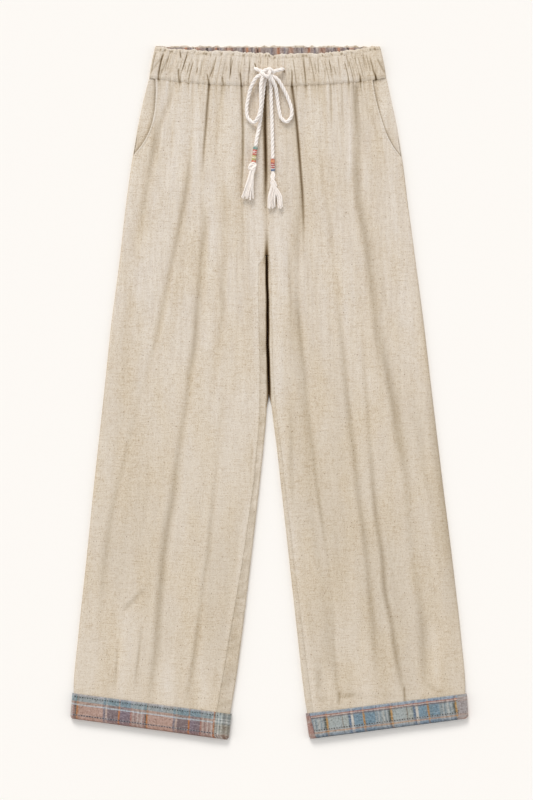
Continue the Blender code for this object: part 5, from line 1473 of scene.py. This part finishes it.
def tubeMesh(name, rings, length, shade=None):
    # a closed tube through the rings, with u round it and v along it
    count, sides = rings.shape[:2]
    number = np.arange(count * sides).reshape(count, sides)
    near = np.roll(number, -1, axis=1)
    quads = np.stack([number[:-1], near[:-1], near[1:], number[1:]], axis=-1).reshape(-1, 4)
    points = np.concatenate([rings.reshape(-1, 3), [rings[0].mean(axis=0), rings[-1].mean(axis=0)]])
    first, last = count * sides, count * sides + 1
    caps = [(first, int(near[0, k]), int(number[0, k])) for k in range(sides)]
    caps += [(last, int(number[-1, k]), int(near[-1, k])) for k in range(sides)]
    mesh = bpy.data.meshes.new(name)
    mesh.from_pydata(points.tolist(), [], quads.tolist() + caps)
    finishMesh(mesh, 75)
    corners = np.zeros(len(mesh.loops), int)
    mesh.loops.foreach_get("vertex_index", corners)
    around = np.tile(np.arange(sides) / sides, count)
    run = np.repeat(length / length[-1], sides)
    uv = np.concatenate([np.stack([around, run], axis=-1), [[0, 0], [0, 1]]])
    mesh.uv_layers.new(name="cloth").data.foreach_set("uv", uv[corners].ravel())
    tone = np.zeros(len(points))
    if shade is not None:
        tone[:count * sides] = shade.ravel()
    mesh.attributes.new("shade", "FLOAT", "POINT").data.foreach_set("value", tone)
    return mesh


def ropeRadius(radius):
    # three round strands laid together
    strand = drawstring["strandRadius"] * radius
    centre = radius - strand

    def section(angle, t):
        third = (angle + math.pi / 3) % (2 * math.pi / 3) - math.pi / 3
        return centre * np.cos(third) + np.sqrt(strand ** 2 - (centre * np.sin(third)) ** 2)

    return section


def ropeMesh(name, points, radius):
    section = {"sides": drawstring["sides"], "radius": ropeRadius(radius), "size": radius}
    rings, length = sweep(points, section, drawstring["strandPitch"] * mm)
    out = np.linalg.norm(rings - points[:, None, :], axis=2)
    # painted shade in the grooves between the strands
    grooveShade = smooth((radius * 0.9 - out) / (radius * 0.28)) * 0.7
    return tubeMesh(name, rings, length, grooveShade)


def turnedMesh(name, start, heading, alongs, radii):
    # a round solid along heading, through (along, radius) in millimetres
    count = 40
    fine = np.linspace(alongs[0], alongs[-1], count)
    points = start + heading * fine[:, None] * mm
    radius = np.interp(fine, alongs, radii) * mm

    def section(angle, t):
        return np.full_like(angle, np.interp(t, np.linspace(0, 1, count), radius))

    rings, length = sweep(points, {"sides": 20, "radius": section, "size": 1.0}, roundEnds=False)
    return tubeMesh(name, rings, length)


# x of each bunch's end and its half width, from the line of the tassel
tassels = {
    "right": {"strands": 130, "length": 43.0, "rootRadius": 3.4, "bunches": [(0.0, 9.6)],
              "clumps": 9, "seed": 5},
    "left": {"strands": 140, "length": 39.0, "rootRadius": 2.9,
             "bunches": [(-2.2, 5.8), (10.6, 3.8)], "clumps": 6, "seed": 6},
}
fringe = {"strandRadius": 0.82, "tipShare": 0.5, "sides": 5}


def fringeTree(material):
    # thickens the lines of a fringe to strands that taper towards their tips
    tree = bpy.data.node_groups.new("fringe strands", "GeometryNodeTree")
    groupSocket(tree, "Lines", "NodeSocketGeometry")
    keys = {"radius": groupSocket(tree, "Strand radius", "NodeSocketFloat", 0.0004),
            "tip": groupSocket(tree, "Tip share", "NodeSocketFloat", 0.5),
            "sides": groupSocket(tree, "Sides", "NodeSocketInt", 4)}
    groupSocket(tree, "Strands", "NodeSocketGeometry", way="OUTPUT")
    start = addNode(tree, "NodeGroupInput")
    lines = addNode(tree, "GeometryNodeMeshToCurve", {0: start.outputs["Lines"]})
    share = addNode(tree, "GeometryNodeSplineParameter")
    taper = addNode(tree, "ShaderNodeMapRange", {
        "Value": share.outputs["Factor"], "To Min": 1.0, "To Max": start.outputs["Tip share"]})
    radius = addNode(tree, mathNode, {
        0: taper, 1: start.outputs["Strand radius"]}, operation="MULTIPLY")
    circle = addNode(tree, "GeometryNodeCurvePrimitiveCircle", {
        "Resolution": start.outputs["Sides"], "Radius": 1.0})
    tubes = addNode(tree, "GeometryNodeCurveToMesh", {
        "Curve": lines, "Profile Curve": circle, "Scale": radius, "Fill Caps": True})
    whole = addNode(tree, "GeometryNodeRealizeInstances", {0: tubes})
    painted = addNode(tree, "GeometryNodeSetMaterial", {"Geometry": whole, "Material": material})
    addNode(tree, "NodeGroupOutput", {0: painted})
    return tree, keys


def fringeMesh(name, root, heading, setting):
    # lines from the head to the tips, in clumps, thickened by the node tree
    across = np.cross((0.0, 0.0, 1.0), heading)
    chance = np.random.default_rng(setting["seed"])
    points, edges = [], []
    steps = np.linspace(0, 1, 11)
    whole = len(setting["bunches"]) == 1
    for strand in range(setting["strands"]):
        centre, half = setting["bunches"][strand % len(setting["bunches"])]
        clump = chance.integers(setting["clumps"])
        spot = chance.normal(0, 0.45, 2)
        spot /= max(1.0, np.linalg.norm(spot))
        clumpSide = (clump + 0.5) / setting["clumps"] * 2 - 1
        rootSide, rootUp = spot * setting["rootRadius"]
        rootSide = 0.5 * rootSide + 0.5 * clumpSide * setting["rootRadius"]
        endSide = centre + half * (clumpSide + chance.normal(0, 0.45) / setting["clumps"])
        reach = 0.97 + 0.045 * math.sin(clump * 2.3) + chance.uniform(-0.03, 0.03)
        reach = setting["length"] * reach
        bend, turn = chance.uniform(-0.5, 0.5), chance.uniform(0, 6.3)
        wave = 0.5 * math.sin(clump * 1.7)
        endUp = np.clip(rootUp * 0.4 + chance.uniform(-0.5, 0.5), -1.6, 1.6)
        first = len(points)
        for t in steps:
            opened = t ** 1.35 if whole else smooth(t * 1.5) * 0.75 + 0.25 * t
            side = rootSide + (endSide - rootSide) * opened
            sway = bend + wave * math.sin(2.2 * math.pi * t + clump)
            side += sway * math.sin(math.pi * min(t * 1.1, 1))
            up = rootUp + (endUp - rootUp) * t + 0.25 * math.sin(7 * t + turn)
            place = root + (heading * (t * reach - 1.5) + across * side) * mm
            points.append(place + np.array([0, 0, up * mm]))
        edges += [(first + k, first + k + 1) for k in range(len(steps) - 1)]
    lines = bpy.data.meshes.new(name)
    lines.from_pydata([tuple(p) for p in points], edges, [])
    tree, keys = fringeTree(tasselCotton)
    return nodeMesh(name, lines, tree, {
        keys["radius"]: fringe["strandRadius"] * mm, keys["tip"]: fringe["tipShare"],
        keys["sides"]: fringe["sides"]})


def joinMeshes(name, meshes, material):
    bm = bmesh.new()
    for mesh in meshes:
        bm.from_mesh(mesh)
    joined = bpy.data.meshes.new(name)
    bm.to_mesh(joined)
    bm.free()
    joined.shade_smooth()
    joined.set_sharp_from_angle(angle=math.radians(75))
    return addPiece(name, joined, material)


def ridingPiece(piece, slotName, *nodeNames):
    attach(piece, "root")
    if nodeNames:
        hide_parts(*nodeNames)
    return piece


def direction(across, down):
    # the way that runs so far to the wearer's left and so far down the garment
    way = np.array([across, -down, 0.0])
    return way / np.linalg.norm(way)


def makeEnd(name, route, whipWay, whip, thread, headWay, head):
    # the coloured whipping and the tassel at the end of a tail
    heading, hang = direction(*whipWay), direction(*headWay)
    start = route[-1] + heading * 0.1 * mm
    turns = int(whip["length"] / drawstring["threadTurn"])
    alongs = np.linspace(0, whip["length"], turns * 4 + 1)
    radii = whip["radius"] + 0.22 * np.abs(np.sin(np.linspace(0, turns * math.pi, turns * 4 + 1)))
    radii[0] = radii[-1] = whip["radius"] - 0.6
    section = {"sides": 18, "size": 1.0,
               "radius": lambda angle, t: np.full_like(
                   angle, np.interp(t, alongs / whip["length"], radii) * mm)}
    line = start + heading * alongs[:, None] * mm
    rings, length = sweep(line, section, roundEnds=False)
    whipping = addPiece("whipping_" + name + "_thread", tubeMesh("whipping", rings, length), thread)
    headStart = start + heading * (whip["length"] + 0.2) * mm
    parts = [turnedMesh("head", headStart, hang, head["along"], head["radius"])]
    up = np.array([0.0, 0.0, 1.0])
    across = np.cross(up, hang)
    for loop in head["wraps"]:
        turn = [headStart + (hang * a + across * b + up * c) * mm for a, b, c in loop["turn"]]
        parts.append(ropeMesh("wrap", along(turn, 0.7 * mm), loop["thick"] * mm))
    root = headStart + hang * head["along"][-1] * mm
    parts.append(fringeMesh("fringe", root, hang, tassels[name]))
    tassel = joinMeshes("tassel_" + name + "_fringe", parts, tasselCotton)
    ridingPiece(whipping, "thread", "whipping_" + name)
    ridingPiece(tassel, "cord", "tassel_" + name)
    return [whipping, tassel]


def makeCord(name, stops, *endFacts):
    # one free half of the drawstring, from the waistband through the bow to its tassel
    radius = drawstring["diameter"] / 2 * mm
    line = along(cordPlaces(stops), drawstring["ringSpacing"] * mm)
    mesh = ropeMesh("cord", line, radius * drawstring["cordShare"])
    piece = addPiece("drawstring_" + name, mesh, cordCotton)
    ends = makeEnd(name, line, *endFacts)
    ridingPiece(piece, "cord", "drawstring_end_" + name, "drawstring_loop_" + name,
                "drawstring_tail_" + name)
    return piece, line, float(np.linalg.norm(np.diff(line, axis=0), axis=1).sum()), ends


# head wraps: places along, across to the wearer's left and up, from the whipping's end
rightCord = makeCord(
    "right", rightRoute, (-3.0, 23.0), {"length": 23.2, "radius": 3.1}, rightThread, (-6.5, 40.0),
    {"along": [0, 2.5, 6.0, 9.5, 12, 14], "radius": [2.4, 3.0, 3.2, 3.2, 3.1, 3.3],
     "wraps": [{"thick": 2.5, "turn": [(0, 1.4, 1.0), (3, -1.6, 2.4), (6.5, -4.4, 2.0),
                                       (10, -4.4, 1.4), (11, -1.2, 1.9), (8, 2.2, 1.8),
                                       (4, 3.0, 1.0), (1, 1.6, 0.6)]},
               {"thick": 2.0, "turn": [(3, 2.4, 1.0), (7, 3.2, 1.4), (12, 2.8, 1.2),
                                       (17, 2.0, 0.6)]}]})
leftCord = makeCord(
    "left", leftRoute, (0.2, 19.0), {"length": 18.0, "radius": 2.9}, leftThread, (0.3, 40.0),
    {"along": [0, 4, 9, 14, 18], "radius": [2.4, 2.5, 2.3, 2.6, 2.9],
     "wraps": [{"thick": 1.9, "turn": [(1, -1.2, 0.8), (5, 1.8, 1.5), (9, 1.9, 1.7),
                                       (13, -1.4, 1.7), (17, -2.6, 1.0), (21, -1.6, 0.4)]},
               {"thick": 1.9, "turn": [(3, 1.4, 0.6), (7, -1.9, 1.4), (11, -1.9, 1.5),
                                       (14.5, 1.5, 2.2), (18, 3.4, 1.6), (23, 5.4, 0.6)]}]})

# the knot: turns of cord round the crossing
knotTurns = [
    [(-13.5, 43, 0.6), (-9.0, 39.6, 1.05), (-3.8, 37.0, 1.35), (1.0, 36.2, 1.45),
     (4.8, 38.2, 1.25), (8.0, 42.0, 0.8)],
    [(-11.5, 40.6, 0.9), (-8.0, 43.6, 1.4), (-4.6, 46.4, 1.5), (0, 47.6, 1.3), (5.0, 45.6, 0.8)],
    [(3.0, 38.6, 0.9), (0.8, 41.2, 1.7), (0.9, 45.5, 1.6), (1.4, 52.5, 0.8)],
]
knotMeshes = [ropeMesh("turn", along(cordPlaces(turn), drawstring["ringSpacing"] * mm),
                       drawstring["knotRadius"] * mm) for turn in knotTurns]
knot = ridingPiece(joinMeshes("drawstring_knot_turns", knotMeshes, cordCotton), "cord",
                   "drawstring_knot")
print("drawstring made")


stage = {
    "floor": "#fdfaf6", "floorSize": 8.0,
    "sky": 0.55,
    "warmth": (1.0, 0.985, 0.965),
    # name, the way it comes from, strength, width in degrees
    "lights": [("window light", (-3.0, 12.7, 8.6), 1.74, 24),
               ("fill light left", (-12, 0, 6.4), 0.50, 40),
               ("fill light right", (12, 0, 6.4), 0.50, 40)],
}
view = {
    "distance": 5.0, "height": 1.2,          # m: of the camera, and of what it sees
    "middleX": -3.75, "middleDown": 531.0,
    "sensor": 36.0,
    "cloth": 0.006,                          # m: height of the cloth, where the view is 1.2 m
}


def makeStage():
    bpy.ops.mesh.primitive_plane_add(size=stage["floorSize"], location=(0, 0, -0.0001))
    floor = bpy.context.active_object
    floor.name = "floor"
    material, tree, shader = newMaterial("matt paper floor", 0.9)
    shader.inputs["Base Color"].default_value = hexColour(stage["floor"])
    shader.inputs["Specular IOR Level"].default_value = 0.1
    floor.data.materials.append(material)
    world = bpy.data.worlds.new("soft studio")
    world.use_nodes = True
    sky = world.node_tree.nodes["Background"]
    sky.inputs["Color"].default_value = (1.0, 1.0, 1.0, 1.0)
    sky.inputs["Strength"].default_value = stage["sky"]
    bpy.context.scene.world = world
    # a wide window beyond the waist end, low enough to shade the hems, and soft fills
    for name, way, strength, width in stage["lights"]:
        lamp = bpy.data.objects.new(name, bpy.data.lights.new(name, "SUN"))
        lamp.data.energy = strength
        lamp.data.angle = math.radians(width)
        lamp.data.color = stage["warmth"]
        lamp.rotation_euler = mathutils.Vector(way).to_track_quat("Z", "Y").to_euler()
        bpy.context.scene.collection.objects.link(lamp)


def makeCamera():
    # straight above, with a long lens
    camera = bpy.data.objects.new("camera", bpy.data.cameras.new("camera"))
    camera.data.sensor_fit = "VERTICAL"
    camera.data.sensor_height = view["sensor"]
    camera.data.lens = view["sensor"] * (view["distance"] - view["cloth"]) / view["height"]
    camera.data.clip_end = 50.0
    x, y, _ = toWorld(view["middleX"], view["middleDown"], 0.0)
    camera.location = (x, y, view["distance"])
    bpy.context.scene.collection.objects.link(camera)
    bpy.context.scene.camera = camera


makeStage()
makeCamera()
bpy.context.scene.view_settings.view_transform = "Standard"
print("stage and camera made")
